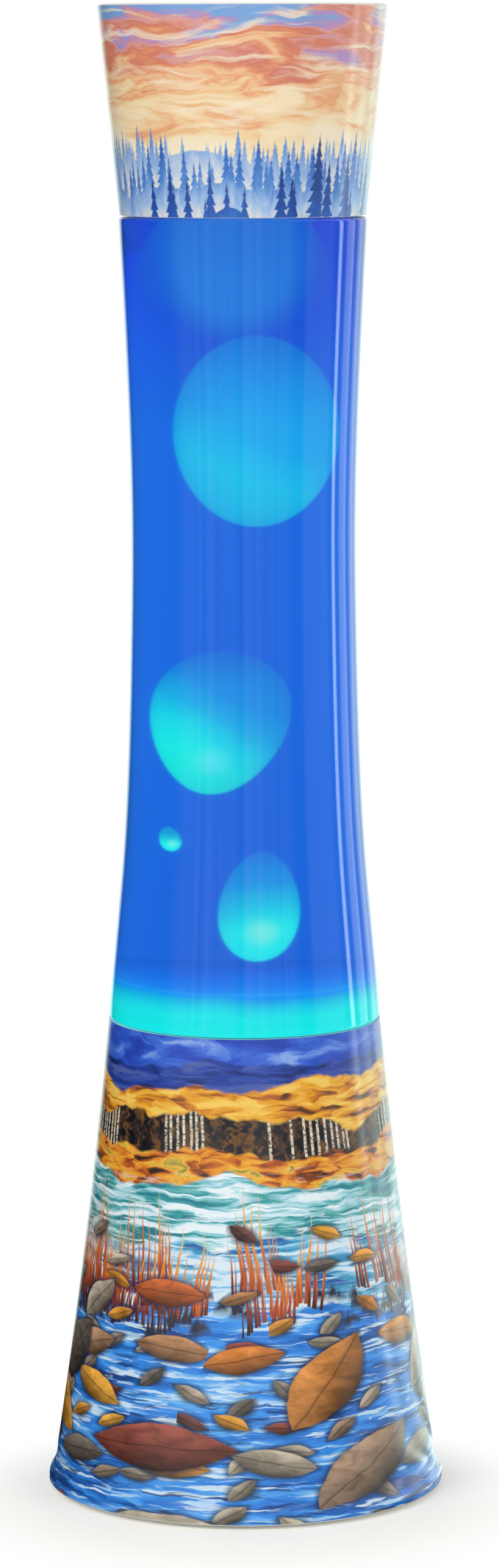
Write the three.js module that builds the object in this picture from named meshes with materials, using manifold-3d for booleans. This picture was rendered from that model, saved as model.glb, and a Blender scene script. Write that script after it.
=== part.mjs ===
// Liquid motion lamp: a printed cone base with a bulb in it, an hourglass bottle of liquid and wax
// that stands in the base, and a printed cone cap over the bottle's neck.
// Millimetres, +Z up, origin on the surface at the middle of the footprint, +Y towards the cord gland.
import Module from "manifold-3d";
import * as THREE from "three";
import { mergeVertices } from "three/addons/utils/BufferGeometryUtils.js";

const wasm = await Module();
wasm.setup();

// Flats round the turned pieces
const turnFlats = 32;
const bulbFlats = 20;
const smallFlats = 12;
const leadSides = 8;
const leadSteps = 10;

// Gaps and cuts
const seatGap = 0.1; // between faces that rest on each other
const fitGap = 0.3; // round a piece that stands in another
const cutOverrun = 1;

// Base shell and its printed film
const surfaceClearance = 1; // the shell's underside above the surface
const baseHeight = 127.6;
const baseRimRadius = 36.6; // over the film
const baseFlareRadius = 51.9; // over the film, at the top of the foot bead
const baseSag = 0.85; // how far the cone draws in halfway up
const baseWall = 2.2;
const beadHeight = 5.6;
const beadBulge = 1.7;
const filmThickness = 0.25;
const filmGap = 0.1;
const baseFilmLift = 0.5; // the film's lower edge above the shell's underside
const baseSteps = 5;
const beadShares = [
  [1, 0.3],
  [0.76, 0.55],
  [0.3, 0.8],
];
const beadUnderShares = [
  [0.72, 0],
  [0.94, 0.045],
];

// Seat of the bottle in the base
const footRadius = 30.6;
const footClearance = 0.6;
const seatWall = 2.5;
const seatDepth = 15.4;
const seatLedgeThickness = 2.4;
const seatLedgeReach = 2.4; // how far the ledge reaches in under the seat ring
const gasketThickness = 1;
const rimGap = 0.2; // between the base's rim and the bottle's step
const rimLip = 0.9; // thickness of the lip that hides the gasket

// Bottom cover, feet and screws
const coverRecess = 1.8; // the cover's underside above the shell's
const coverThickness = 2.2;
const coverScrewCount = 4;
const bossRadius = 3.6;
const bossHeight = 8;
const bossSink = 0.8; // how deep a boss runs into the shell's wall
const screwShankRadius = 1.2;
const screwHeadRadius = 2.6;
const screwHeadHeight = 1.4;
const coverScrewLength = 8;
const footPadCount = 4;
const footPadRadius = 6;
const footPadInset = 3; // from a pad's edge to the cover's edge
const ventCount = 8;
const ventLength = 17;
const ventWidth = 3;
const ventCircle = 28;

// Cord gland and its boss in the back of the shell
const glandHeight = 16.5;
const glandBossRadius = 8.5;
const glandBossDepth = 4; // inside the wall
const glandBossProud = 0.3; // past the film at the boss's lower edge
const glandNeckRadius = 5.6;
const glandBoreRadius = 3.6;
const glandFlangeRadius = 7.4;
const glandFlangeThickness = 1.1;
const glandLipRadius = 6.6;
const glandLipLength = 1.6;

// Lampholder on its bracket
const bracketSpan = 50;
const bracketWidth = 12;
const bracketRise = 5;
const bracketThickness = 1.2;
const bracketTop = 30; // length of the raised middle
const bracketScrewCount = 2;
const bracketScrewCircle = 21;
const bracketScrewLength = 3.2;
const holderRadius = 13;
const holderHeight = 28;
const holderFloor = 4;
const holderBore = 8;
const holderScrewLength = 2.4;
const shelfWidth = 18;
const shelfReach = 18; // from the lampholder's axis to the back of its terminal shelf
const shelfThickness = 2.6;
const threadShellRadius = 7.75;
const threadShellWall = 0.5;
const threadShellLength = 17;
const contactLength = 9;
const contactWidth = 4;
const contactThickness = 0.5;
const contactRise = 3;
const terminalWidth = 4.4;
const terminalDepth = 4;
const terminalHeight = 5;
const terminalSpacing = 10;

// Terminal block and leads
const blockWidth = 16;
const blockDepth = 9;
const blockHeight = 10;
const blockGap = 4; // from the cord gland's lip to the block
const leadRadius = 1.1;
const leadBend = 5;
const leadSpacing = 8;

// Reflector bulb, 39 mm across, with a 14 mm screw cap
const bulbRadius = 19.5;
const bulbLength = 66;
const bulbGlass = 0.7;
const bulbNeckRadius = 6.2;
const bulbNeckLength = 4; // inside the screw cap
const bulbCapRadius = 6.9;
const bulbCapWall = 0.4;
const bulbCapHeight = 16.5;
const bulbCapChamfer = 1.6;
const bulbCapMouth = 3; // hole in the cap's foot
const insulatorHeight = 2.4;
const insulatorRadius = 4.6;
const tipRadius = 2.2;
const tipHeight = 1.3;
const stemRadius = 2.2;
const stemFlare = 5;
const stemHeight = 17;
const filamentRadius = 0.4;
const filamentSpan = 9;
const filamentRise = 9;
const bulbBodyShares = [
  [0.2, 0.08],
  [0.3, 0.22],
  [0.74, 0.54],
  [1, 0.8],
  [0.95, 0.9],
  [0.66, 0.97],
];

// Bottle
const bodyHeight = 215.3; // from the step that rests on the gasket to the shoulder
const bodyRimRadius = 36.6;
const bodyCorner = 1.2;
const waistHeight = 133;
const waistRadius = 30;
const shoulderRadius = 33;
const shoulderCorner = 1;
const shoulderLedge = 3; // flat ring under the cap's rim
const shoulderRise = 20;
const shoulderTurnDepth = 4.5; // the inside turns in this far below the ledge
const glassWall = 2.4;
const glassFloor = 3.2;
const footDepth = 22;
const footTaper = 1;
const footCorner = 3;
const heelRise = 4.6; // the inside widens up to here above the step
const neckRadius = 13.2;
const neckLength = 12;
const mouthRadius = 10;
const shoulderSteps = 4;
const lowerBodyShares = [
  [1, 1],
  [0.85, 0.725],
  [0.67, 0.4],
  [0.46, 0.17],
  [0.22, 0.045],
];
const upperBodyShares = [
  [0, 0],
  [0.3, 0.15],
  [0.62, 0.49],
  [1, 1],
];

// Crown closure
const crownRadius = 16;
const crownTopRadius = 13.6;
const crownHeight = 6.4;
const crownWall = 0.5;
const crownFlutes = 20;
const crownFluteShare = 0.03;
const linerThickness = 0.9;
const linerRadius = 12.6;

// Liquid, wax and heating coil
const liquidRise = 6; // the liquid's level above the shoulder ledge
const poolHeight = 10.8; // the wax pool's edge above the bottle's step
const poolDome = 0.8;
const ventRadius = 0.7; // of the paths in the liquid above each blob
const coilRingRadius = 20;
const coilWireRadius = 1.6;
const coilSteps = 20;
const coilSides = 6;
const blobSteps = 14;
const blobRings = 8;

// Each blob: its centre as shares of the bottle's inner waist radius and body height, its half widths
// and half height as shares of the same, how much it swells upwards, and its tilt in degrees.
const blobShares = {
  wax_blob_upper: { centreShares: [0.095, 0, 0.738], halfShares: [0.605, 0.119] },
  wax_blob_middle: {
    centreShares: [-0.187, 0, 0.3732],
    halfShares: [0.51, 0.09],
    swellShare: 0.16,
    tiltAngle: 8,
  },
  wax_droplet: {
    centreShares: [-0.553, 0, 0.2262],
    halfShares: [0.08, 0.0158],
    swellShare: -0.15,
    tiltAngle: -12,
  },
  wax_blob_lower: {
    centreShares: [0.112, 0, 0.1413],
    halfShares: [0.297, 0.0697],
    swellShare: -0.15,
    tiltAngle: 3,
  },
  wax_blob_deep: { centreShares: [-0.12, 0.12, 0.939], halfShares: [0.63, 0.0836] },
};

// Cap shell, its printed film, top disc and centring ring
const capHeight = 55.6;
const capRimRadius = 32.75; // over the film
const capTopRadius = 38.4; // over the film
const capWall = 1.8;
const capFilmLift = 0.15;
const capFilmDrop = 0.5;
const discThickness = 2;
const discRecess = 1.2;
const discLedge = 1.6;
const ringLift = 5.5; // the centring ring above the cap's rim
const ringHeight = 3.6;

// Levels
const baseRimZ = surfaceClearance + baseHeight;
const beadTopZ = surfaceClearance + beadHeight;
const coverZ = surfaceClearance + coverRecess;
const coverTopZ = coverZ + coverThickness;
const stepZ = baseRimZ + rimGap;
const gasketZ = stepZ - seatGap - gasketThickness;
const rebateZ = gasketZ - seatGap;
const footZ = stepZ - footDepth;
const cavityZ = footZ + glassFloor;
const shoulderZ = stepZ + bodyHeight;
const waistZ = stepZ + waistHeight;
const neckTopZ = shoulderZ + shoulderRise + neckLength;
const capRimZ = shoulderZ + fitGap;
const capTopZ = capRimZ + capHeight;
const holderZ = coverTopZ + seatGap + bracketRise + seatGap;
const bulbZ = holderZ + holderFloor + seatGap + contactRise + contactThickness + fitGap;

const abs = new THREE.MeshStandardMaterial({ color: 0xf2f0ea, roughness: 0.45 });
const basePrint = new THREE.MeshStandardMaterial({ color: 0x4a78b4, roughness: 0.2 });
const capPrint = new THREE.MeshStandardMaterial({ color: 0xdab08c, roughness: 0.2 });
const rubber = new THREE.MeshStandardMaterial({ color: 0x26282b, roughness: 0.9 });
const foam = new THREE.MeshStandardMaterial({ color: 0xd8d8d4, roughness: 0.95 });
const steel = new THREE.MeshStandardMaterial({ color: 0xb9bcc0, roughness: 0.35, metalness: 1 });
const brass = new THREE.MeshStandardMaterial({ color: 0xc9a45a, roughness: 0.35, metalness: 1 });
const holderPlastic = new THREE.MeshStandardMaterial({ color: 0xece8de, roughness: 0.5 });
const insulatorGlass = new THREE.MeshStandardMaterial({ color: 0x17171a, roughness: 0.2 });
const bulbGlaze = new THREE.MeshStandardMaterial({ color: 0xe6e6e2, roughness: 0.3 });
const tungsten = new THREE.MeshStandardMaterial({ color: 0x5c5a58, roughness: 0.5, metalness: 1 });
const liveSleeve = new THREE.MeshStandardMaterial({ color: 0x7a4a2a, roughness: 0.6 });
const neutralSleeve = new THREE.MeshStandardMaterial({ color: 0x2c62b0, roughness: 0.6 });
const wax = new THREE.MeshStandardMaterial({ color: 0x20d8e8, roughness: 0.4 });
const glass = new THREE.MeshStandardMaterial({
  color: 0xdfe8f8,
  roughness: 0.05,
  transparent: true,
  opacity: 0.35,
});
const liquid = new THREE.MeshStandardMaterial({
  color: 0x1f62d8,
  roughness: 0.1,
  transparent: true,
  opacity: 0.6,
});

// A closed geometry as a solid that can be cut and joined.
function solidOf(geometry) {
  const bare = geometry.clone();
  bare.deleteAttribute("normal");
  bare.deleteAttribute("uv");
  const merged = mergeVertices(bare);
  return new wasm.Manifold(
    new wasm.Mesh({
      numProp: 3,
      vertProperties: merged.attributes.position.array,
      triVerts: new Uint32Array(merged.index.array),
    }),
  );
}

// A solid back as a geometry.
function geometryOf(solid) {
  const { vertProperties, triVerts } = solid.getMesh();
  const geometry = new THREE.BufferGeometry();
  geometry.setAttribute("position", new THREE.BufferAttribute(vertProperties, 3));
  geometry.setIndex(new THREE.BufferAttribute(triVerts, 1));
  geometry.computeVertexNormals();
  return geometry;
}

function joined(geometry, additions) {
  const whole = additions.reduce((sum, next) => sum.add(solidOf(next)), solidOf(geometry));
  return geometryOf(whole);
}

function cut(geometry, cutters) {
  const rest = cutters.reduce((sum, next) => sum.subtract(solidOf(next)), solidOf(geometry));
  return geometryOf(rest);
}

// A profile of [radius, height] points, anticlockwise with the height up, turned about Z.
function turned(profile, flats = turnFlats) {
  const points = profile.map(([radius, z]) => new THREE.Vector2(radius, z));
  return new THREE.LatheGeometry(points, flats).rotateX(Math.PI / 2);
}

function turnedRing(profile, flats = turnFlats) {
  return turned([...profile, profile[0]], flats);
}

function disc(radius, low, high, flats = smallFlats) {
  return turned([[0, low], [radius, low], [radius, high], [0, high]], flats);
}

function sleeve(inner, outer, low, high, flats = turnFlats) {
  return turnedRing([[inner, low], [outer, low], [outer, high], [inner, high]], flats);
}

function box(width, depth, height) {
  return new THREE.BoxGeometry(width, depth, height);
}

// An outline's radius at a height, straight between its points, which run upwards.
function radiusAt(outline, z) {
  const found = outline.findIndex(([, top], i) => i > 0 && top >= z);
  const k = found < 0 ? outline.length - 1 : found;
  const [[r0, z0], [r1, z1]] = [outline[k - 1], outline[k]];
  return r0 + ((r1 - r0) * (z - z0)) / (z1 - z0);
}

// The stretch of an outline between two heights.
function stretch(outline, low, high) {
  const within = outline.filter(([, z]) => z > low && z < high);
  return [[radiusAt(outline, low), low], ...within, [radiusAt(outline, high), high]];
}

function inset(outline, amount) {
  return outline.map(([radius, z]) => [radius - amount, z]);
}

function downwards(outline) {
  return [...outline].reverse();
}

// Places at equal angles on a circle.
function aroundCircle(count, radius, firstAngle) {
  return Array.from({ length: count }, (_, i) => {
    const angle = firstAngle + (i * 2 * Math.PI) / count;
    return { angle, x: radius * Math.cos(angle), y: radius * Math.sin(angle) };
  });
}

// A pan-head screw that points up, its head's top at height zero.
function screw(length) {
  return turned(
    [
      [0, -screwHeadHeight],
      [screwHeadRadius, -screwHeadHeight],
      [screwHeadRadius, 0],
      [screwShankRadius, 0],
      [screwShankRadius, length],
      [0, length],
    ],
    smallFlats,
  );
}

function screwHole(low, high) {
  return disc(screwShankRadius + fitGap, low, high);
}

function addPart(group, name, geometry, material) {
  const mesh = new THREE.Mesh(geometry, material);
  mesh.name = name;
  group.add(mesh);
  return mesh;
}

// Outside of the printed base, from the top of its bead to its rim.
const baseOutline = Array.from({ length: baseSteps + 1 }, (_, i) => {
  const share = i / baseSteps;
  const cone = THREE.MathUtils.lerp(baseFlareRadius, baseRimRadius, share);
  return [cone - 4 * baseSag * share * (1 - share), THREE.MathUtils.lerp(beadTopZ, baseRimZ, share)];
});
const filmDepth = filmThickness + filmGap;
const baseInside = inset(baseOutline, filmDepth + baseWall);
const baseMouthRadius = baseInside[0][0];
const seatRadius = footRadius + footClearance;
const ledgeZ = rebateZ - seatDepth;
const rebateRadius = baseRimRadius - filmDepth - rimLip;
const coverScrews = aroundCircle(
  coverScrewCount,
  radiusAt(baseInside, coverTopZ + bossHeight) + bossSink - bossRadius,
  Math.PI / coverScrewCount,
);
const bracketScrews = aroundCircle(bracketScrewCount, bracketScrewCircle, 0);
const glandFaceY = radiusAt(baseOutline, glandHeight - glandBossRadius) + glandBossProud;
const glandInnerY = radiusAt(baseInside, glandHeight) - glandBossDepth;
const glandLipY = glandInnerY - fitGap - glandLipLength;
const coverRadius = baseMouthRadius - fitGap;
const footPads = aroundCircle(footPadCount, coverRadius - footPadInset - footPadRadius, 0);
const blockY = glandLipY - blockGap - blockDepth / 2;

// The foot bead's outside, upwards, at a depth under the film.
function beadOutline(shares, depth) {
  return shares.map(([bulge, rise]) => [
    baseFlareRadius - depth + bulge * beadBulge,
    surfaceClearance + rise * beadHeight,
  ]);
}

// A cylinder along Y through the back of the base.
function backCylinder(radius, nearY, farY) {
  const cylinder = disc(radius, nearY, farY, bulbFlats);
  return cylinder.rotateX(-Math.PI / 2).translate(0, 0, glandHeight);
}

function baseShell() {
  const film = inset(baseOutline, filmDepth);
  const ledgeLowZ = ledgeZ - seatLedgeThickness;
  const ledgeRadius = seatRadius + seatWall - seatLedgeReach;
  const shell = turnedRing([
    [baseMouthRadius, surfaceClearance],
    ...beadOutline(beadUnderShares, filmDepth),
    [baseFlareRadius - filmDepth + beadBulge, surfaceClearance + baseFilmLift],
    ...beadOutline(beadShares, filmDepth),
    ...film,
    [rebateRadius, baseRimZ],
    [rebateRadius, rebateZ],
    ...downwards(stretch(baseInside, ledgeZ, rebateZ)),
    [ledgeRadius, ledgeZ],
    [ledgeRadius, ledgeLowZ],
    ...downwards(stretch(baseInside, beadTopZ, ledgeLowZ - seatLedgeThickness)),
  ]);
  const bossZ = coverTopZ + seatGap;
  const bosses = coverScrews.map(({ x, y }) =>
    disc(bossRadius, bossZ, bossZ + bossHeight).translate(x, y, 0),
  );
  const bores = coverScrews.map(({ x, y }) =>
    screwHole(bossZ - cutOverrun, coverZ + coverScrewLength + fitGap).translate(x, y, 0),
  );
  const glandBoss = backCylinder(glandBossRadius, glandInnerY, glandFaceY);
  const glandBore = backCylinder(
    glandNeckRadius + fitGap,
    glandInnerY - cutOverrun,
    glandFaceY + cutOverrun,
  );
  return cut(joined(shell, [...bosses, glandBoss]), [...bores, glandBore]);
}

function baseFilm() {
  const outside = [
    [baseFlareRadius + beadBulge, surfaceClearance + baseFilmLift],
    ...beadOutline(beadShares, 0),
    ...baseOutline,
  ];
  const film = turnedRing([...outside, ...downwards(inset(outside, filmThickness))]);
  const hole = backCylinder(
    glandBossRadius + fitGap,
    glandInnerY,
    glandFaceY + cutOverrun,
  );
  return cut(film, [hole]);
}

function bottomCover() {
  const plate = disc(coverRadius, coverZ, coverTopZ, turnFlats);
  const holes = [...coverScrews, ...bracketScrews].map(({ x, y }) =>
    screwHole(coverZ - cutOverrun, coverTopZ + cutOverrun).translate(x, y, 0),
  );
  const vents = aroundCircle(ventCount, ventCircle, Math.PI / ventCount).map(({ angle, x, y }) =>
    box(ventLength, ventWidth, coverThickness + 2 * cutOverrun)
      .rotateZ(angle)
      .translate(x, y, (coverZ + coverTopZ) / 2),
  );
  return cut(plate, [...holes, ...vents]);
}

// A flat strip with its middle raised, so that the lampholder's screw has room under it.
function bracket() {
  const half = bracketSpan / 2;
  const step = bracketTop / 2;
  const outline = new THREE.Shape([
    new THREE.Vector2(-half, 0),
    new THREE.Vector2(-step + bracketThickness, 0),
    new THREE.Vector2(-step + bracketThickness, bracketRise - bracketThickness),
    new THREE.Vector2(step - bracketThickness, bracketRise - bracketThickness),
    new THREE.Vector2(step - bracketThickness, 0),
    new THREE.Vector2(half, 0),
    new THREE.Vector2(half, bracketThickness),
    new THREE.Vector2(step, bracketThickness),
    new THREE.Vector2(step, bracketRise),
    new THREE.Vector2(-step, bracketRise),
    new THREE.Vector2(-step, bracketThickness),
    new THREE.Vector2(-half, bracketThickness),
  ]);
  const strip = new THREE.ExtrudeGeometry(outline, { depth: bracketWidth, bevelEnabled: false })
    .rotateX(Math.PI / 2)
    .translate(0, bracketWidth / 2, coverTopZ + seatGap);
  const holes = [...bracketScrews, { x: 0, y: 0 }].map(({ x, y }) =>
    screwHole(coverTopZ - cutOverrun, coverTopZ + bracketRise + cutOverrun).translate(x, y, 0),
  );
  return cut(strip, holes);
}

function lampholder() {
  const body = turned(
    [
      [0, 0],
      [holderRadius, 0],
      [holderRadius, holderHeight],
      [holderBore, holderHeight],
      [holderBore, holderFloor],
      [0, holderFloor],
    ],
    bulbFlats,
  );
  const shelf = box(shelfWidth, shelfReach - holderBore, shelfThickness).translate(
    0,
    holderBore + (shelfReach - holderBore) / 2,
    shelfThickness / 2,
  );
  const screwBore = screwHole(-cutOverrun, holderScrewLength + fitGap);
  return cut(joined(body, [shelf]), [screwBore]);
}

// A strip folded back over itself, so that its free end springs up to the bulb's tip.
function contactLeaf() {
  const half = contactLength / 2;
  const outline = new THREE.Shape([
    new THREE.Vector2(-half, 0),
    new THREE.Vector2(half, 0),
    new THREE.Vector2(half, contactThickness),
    new THREE.Vector2(-half + 2 * contactThickness, contactThickness),
    new THREE.Vector2(tipRadius, contactRise),
    new THREE.Vector2(tipRadius, contactRise + contactThickness),
    new THREE.Vector2(-tipRadius, contactRise + contactThickness),
    new THREE.Vector2(-half, 2 * contactThickness),
  ]);
  return new THREE.ExtrudeGeometry(outline, { depth: contactWidth, bevelEnabled: false })
    .rotateX(Math.PI / 2)
    .translate(0, contactWidth / 2, holderFloor + seatGap);
}

// A lead from the terminal block up to one of the lampholder's terminals.
function lead(side) {
  const start = new THREE.Vector3(
    (side * leadSpacing) / 2,
    blockY - blockDepth / 2 - fitGap,
    coverTopZ + seatGap + blockHeight / 2,
  );
  const end = new THREE.Vector3(
    (side * terminalSpacing) / 2,
    shelfReach + fitGap,
    holderZ + shelfThickness + seatGap + terminalHeight / 2,
  );
  const route = new THREE.CubicBezierCurve3(
    start,
    start.clone().add(new THREE.Vector3(0, -leadBend, 0)),
    end.clone().add(new THREE.Vector3(0, leadBend, 0)),
    end,
  );
  const section = new THREE.Shape();
  section.absarc(0, 0, leadRadius, 0, 2 * Math.PI);
  return new THREE.ExtrudeGeometry(section, {
    extrudePath: route,
    steps: leadSteps,
    curveSegments: leadSides / 2,
    bevelEnabled: false,
  });
}

function cordGland() {
  const flangeFace = glandFaceY + seatGap;
  return turnedRing(
    [
      [glandBoreRadius, glandLipY],
      [glandNeckRadius, glandLipY],
      [glandLipRadius, glandInnerY - fitGap],
      [glandNeckRadius, glandInnerY - fitGap],
      [glandNeckRadius, flangeFace],
      [glandFlangeRadius, flangeFace],
      [glandFlangeRadius, flangeFace + glandFlangeThickness],
      [glandBoreRadius, flangeFace + glandFlangeThickness],
    ],
    bulbFlats,
  )
    .rotateX(-Math.PI / 2)
    .translate(0, 0, glandHeight);
}

function buildBase() {
  const base = new THREE.Group();
  addPart(base, "base_shell", baseShell(), abs);
  addPart(base, "base_print_film", baseFilm(), basePrint);
  addPart(
    base,
    "bottle_seat",
    sleeve(seatRadius, seatRadius + seatWall, ledgeZ + seatGap, rebateZ),
    holderPlastic,
  );
  addPart(
    base,
    "seat_gasket",
    sleeve(seatRadius, rebateRadius - seatGap, gasketZ, gasketZ + gasketThickness),
    rubber,
  );
  addPart(base, "bottom_cover", bottomCover(), abs);
  coverScrews.forEach(({ x, y }, i) => {
    const fastener = addPart(base, `cover_screw_${i + 1}`, screw(coverScrewLength), steel);
    fastener.position.set(x, y, coverZ - seatGap);
  });
  footPads.forEach(({ x, y }, i) => {
    const pad = addPart(base, `foot_pad_${i + 1}`, disc(footPadRadius, 0, coverZ - seatGap), rubber);
    pad.position.set(x, y, 0);
  });
  addPart(base, "cord_gland", cordGland(), rubber);
  const block = addPart(base, "terminal_block", box(blockWidth, blockDepth, blockHeight), holderPlastic);
  block.position.set(0, blockY, coverTopZ + seatGap + blockHeight / 2);
  addPart(base, "live_lead", lead(-1), liveSleeve);
  addPart(base, "neutral_lead", lead(1), neutralSleeve);
  addPart(base, "lampholder_bracket", bracket(), steel);
  bracketScrews.forEach(({ x, y }, i) => {
    const fastener = addPart(base, `bracket_screw_${i + 1}`, screw(bracketScrewLength), steel);
    fastener.rotation.x = Math.PI;
    fastener.position.set(x, y, coverTopZ + seatGap + bracketThickness + seatGap);
  });
  return base;
}

function buildLampholder() {
  const holder = new THREE.Group();
  holder.position.z = holderZ;
  addPart(holder, "lampholder", lampholder(), holderPlastic);
  const fastener = addPart(holder, "lampholder_screw", screw(holderScrewLength + bracketThickness), steel);
  fastener.position.z = -2 * seatGap - bracketThickness;
  const shellTop = holderHeight - threadShellWall;
  addPart(
    holder,
    "lampholder_thread_shell",
    sleeve(
      threadShellRadius - threadShellWall,
      threadShellRadius,
      shellTop - threadShellLength,
      shellTop,
      bulbFlats,
    ),
    brass,
  );
  addPart(holder, "lampholder_contact", contactLeaf(), brass);
  ["live_terminal", "neutral_terminal"].forEach((name, i) => {
    const terminal = addPart(holder, name, box(terminalWidth, terminalDepth, terminalHeight), brass);
    terminal.position.set(
      (i - 1 / 2) * terminalSpacing,
      shelfReach - terminalDepth / 2,
      shelfThickness + seatGap + terminalHeight / 2,
    );
  });
  return holder;
}

// The bulb stands on its tip's underside at height zero.
function buildBulb() {
  const bulb = new THREE.Group();
  bulb.position.z = bulbZ;
  const insulatorZ = tipHeight + seatGap;
  const capZ = insulatorZ + insulatorHeight + seatGap;
  const capTop = capZ + bulbCapHeight;
  const glassZ = capTop - bulbNeckLength;
  addPart(bulb, "bulb_tip_contact", disc(tipRadius, 0, tipHeight), brass);
  addPart(
    bulb,
    "bulb_insulator",
    turned(
      [
        [0, insulatorZ],
        [tipRadius, insulatorZ],
        [insulatorRadius, insulatorZ + insulatorHeight],
        [0, insulatorZ + insulatorHeight],
      ],
      bulbFlats,
    ),
    insulatorGlass,
  );
  addPart(
    bulb,
    "bulb_screw_cap",
    turnedRing(
      [
        [bulbCapMouth, capZ],
        [insulatorRadius, capZ],
        [bulbCapRadius, capZ + bulbCapChamfer],
        [bulbCapRadius, capTop],
        [bulbCapRadius - bulbCapWall, capTop],
        [bulbCapRadius - bulbCapWall, capZ + bulbCapChamfer + bulbCapWall],
        [bulbCapMouth, capZ + bulbCapWall],
      ],
      bulbFlats,
    ),
    steel,
  );
  const bodyLength = bulbLength - capTop;
  const body = bulbBodyShares.map(([across, rise]) => [
    bulbNeckRadius + across * (bulbRadius - bulbNeckRadius),
    capTop + rise * bodyLength,
  ]);
  const inside = inset(body, bulbGlass).map(([r, z]) => [r, z - bulbGlass]);
  addPart(
    bulb,
    "bulb_envelope",
    turned(
      [
        [0, bulbLength - bulbGlass],
        ...downwards(inside),
        [bulbNeckRadius - bulbGlass, capTop],
        [bulbNeckRadius - bulbGlass, glassZ],
        [bulbNeckRadius, glassZ],
        [bulbNeckRadius, capTop],
        ...body,
        [0, bulbLength],
      ],
      bulbFlats,
    ),
    bulbGlaze,
  );
  const stemTop = glassZ + stemHeight;
  addPart(
    bulb,
    "bulb_stem",
    turned(
      [
        [0, glassZ],
        [stemFlare, glassZ],
        [stemRadius, glassZ + stemFlare],
        [stemRadius, stemTop],
        [0, stemTop],
      ],
      smallFlats,
    ),
    glass,
  );
  addPart(bulb, "bulb_filament", filament(stemTop + fitGap), tungsten);
  return bulb;
}

// A wire that rises from the stem, runs across and comes back down.
function filament(footZ) {
  const arch = new THREE.CubicBezierCurve3(
    new THREE.Vector3(-stemRadius / 2, 0, footZ),
    new THREE.Vector3(-filamentSpan, 0, footZ + filamentRise),
    new THREE.Vector3(filamentSpan, 0, footZ + filamentRise),
    new THREE.Vector3(stemRadius / 2, 0, footZ),
  );
  const section = new THREE.Shape();
  section.absarc(0, 0, filamentRadius, 0, 2 * Math.PI);
  return new THREE.ExtrudeGeometry(section, {
    extrudePath: arch,
    steps: leadSteps,
    curveSegments: leadSides / 2,
    bevelEnabled: false,
  });
}

// Outside of the bottle's body, upwards between its two rounded corners.
const bodyLowZ = stepZ + bodyCorner;
const bodyHighZ = shoulderZ - shoulderCorner;
const bodyOutline = [
  ...lowerBodyShares.map(([fall, flare]) => [
    waistRadius + flare * (bodyRimRadius - waistRadius),
    waistZ - fall * (waistZ - bodyLowZ),
  ]),
  ...upperBodyShares.map(([rise, flare]) => [
    waistRadius + flare * (shoulderRadius - waistRadius),
    waistZ + rise * (bodyHighZ - waistZ),
  ]),
];

// A quarter ellipse from the shoulder's edge up to the neck.
function shoulderCurve(edgeRadius, edgeZ, topRadius, topZ) {
  return Array.from({ length: shoulderSteps + 1 }, (_, i) => {
    const angle = ((i / shoulderSteps) * Math.PI) / 2;
    return [
      topRadius + (edgeRadius - topRadius) * Math.cos(angle),
      edgeZ + (topZ - edgeZ) * Math.sin(angle),
    ];
  });
}

const shoulderOutside = shoulderCurve(
  shoulderRadius - shoulderLedge,
  shoulderZ,
  neckRadius,
  shoulderZ + shoulderRise,
);
const shoulderInside = shoulderCurve(
  shoulderRadius - shoulderLedge - glassWall,
  shoulderZ - glassWall / 2,
  mouthRadius,
  shoulderZ + shoulderRise - glassWall / 2,
);

// Inside of the bottle, upwards from the edge of its floor to the mouth of its neck.
const footInside = footRadius - footTaper - glassWall;
const cavityOutline = [
  [footInside - footCorner, cavityZ],
  [footInside, cavityZ + footCorner],
  [footRadius - glassWall, stepZ + glassWall],
  ...inset(stretch(bodyOutline, stepZ + heelRise, shoulderZ - shoulderTurnDepth), glassWall),
  ...shoulderInside,
];

function glassBottle() {
  return turned([
    [0, footZ],
    [footRadius - footTaper - footCorner, footZ],
    [footRadius - footTaper - footCorner * (1 - Math.SQRT1_2), footZ + footCorner * (1 - Math.SQRT1_2)],
    [footRadius - footTaper, footZ + footCorner],
    [footRadius, stepZ],
    [bodyRimRadius - bodyCorner, stepZ],
    [bodyRimRadius - bodyCorner * (1 - Math.SQRT1_2), stepZ + bodyCorner * (1 - Math.SQRT1_2)],
    ...bodyOutline,
    [
      shoulderRadius - shoulderCorner * (1 - Math.SQRT1_2),
      shoulderZ - shoulderCorner * (1 - Math.SQRT1_2),
    ],
    [shoulderRadius - shoulderCorner, shoulderZ],
    ...shoulderOutside,
    [neckRadius, neckTopZ],
    [mouthRadius, neckTopZ],
    ...downwards(cavityOutline),
    [0, cavityZ],
  ]);
}

// A metal closure with a fluted skirt, over the bottle's lip.
function crownCap() {
  const topZ = neckTopZ + seatGap + linerThickness + seatGap + crownWall;
  const skirtZ = topZ - crownHeight;
  const crown = turned(
    [
      [0, topZ - crownWall],
      [crownTopRadius - crownWall, topZ - crownWall],
      [crownRadius - crownWall, skirtZ],
      [crownRadius, skirtZ],
      [crownTopRadius, topZ],
      [0, topZ],
    ],
    2 * crownFlutes,
  );
  const place = crown.attributes.position;
  for (let i = 0; i < place.count; i += 1) {
    const flute = Math.cos(crownFlutes * Math.atan2(place.getY(i), place.getX(i)));
    const depth = (topZ - place.getZ(i)) / crownHeight;
    const swell = 1 + crownFluteShare * flute * depth;
    place.setXY(i, place.getX(i) * swell, place.getY(i) * swell);
  }
  return crown;
}

const poolTopZ = stepZ + poolHeight;
const waistInside = waistRadius - glassWall;

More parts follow.
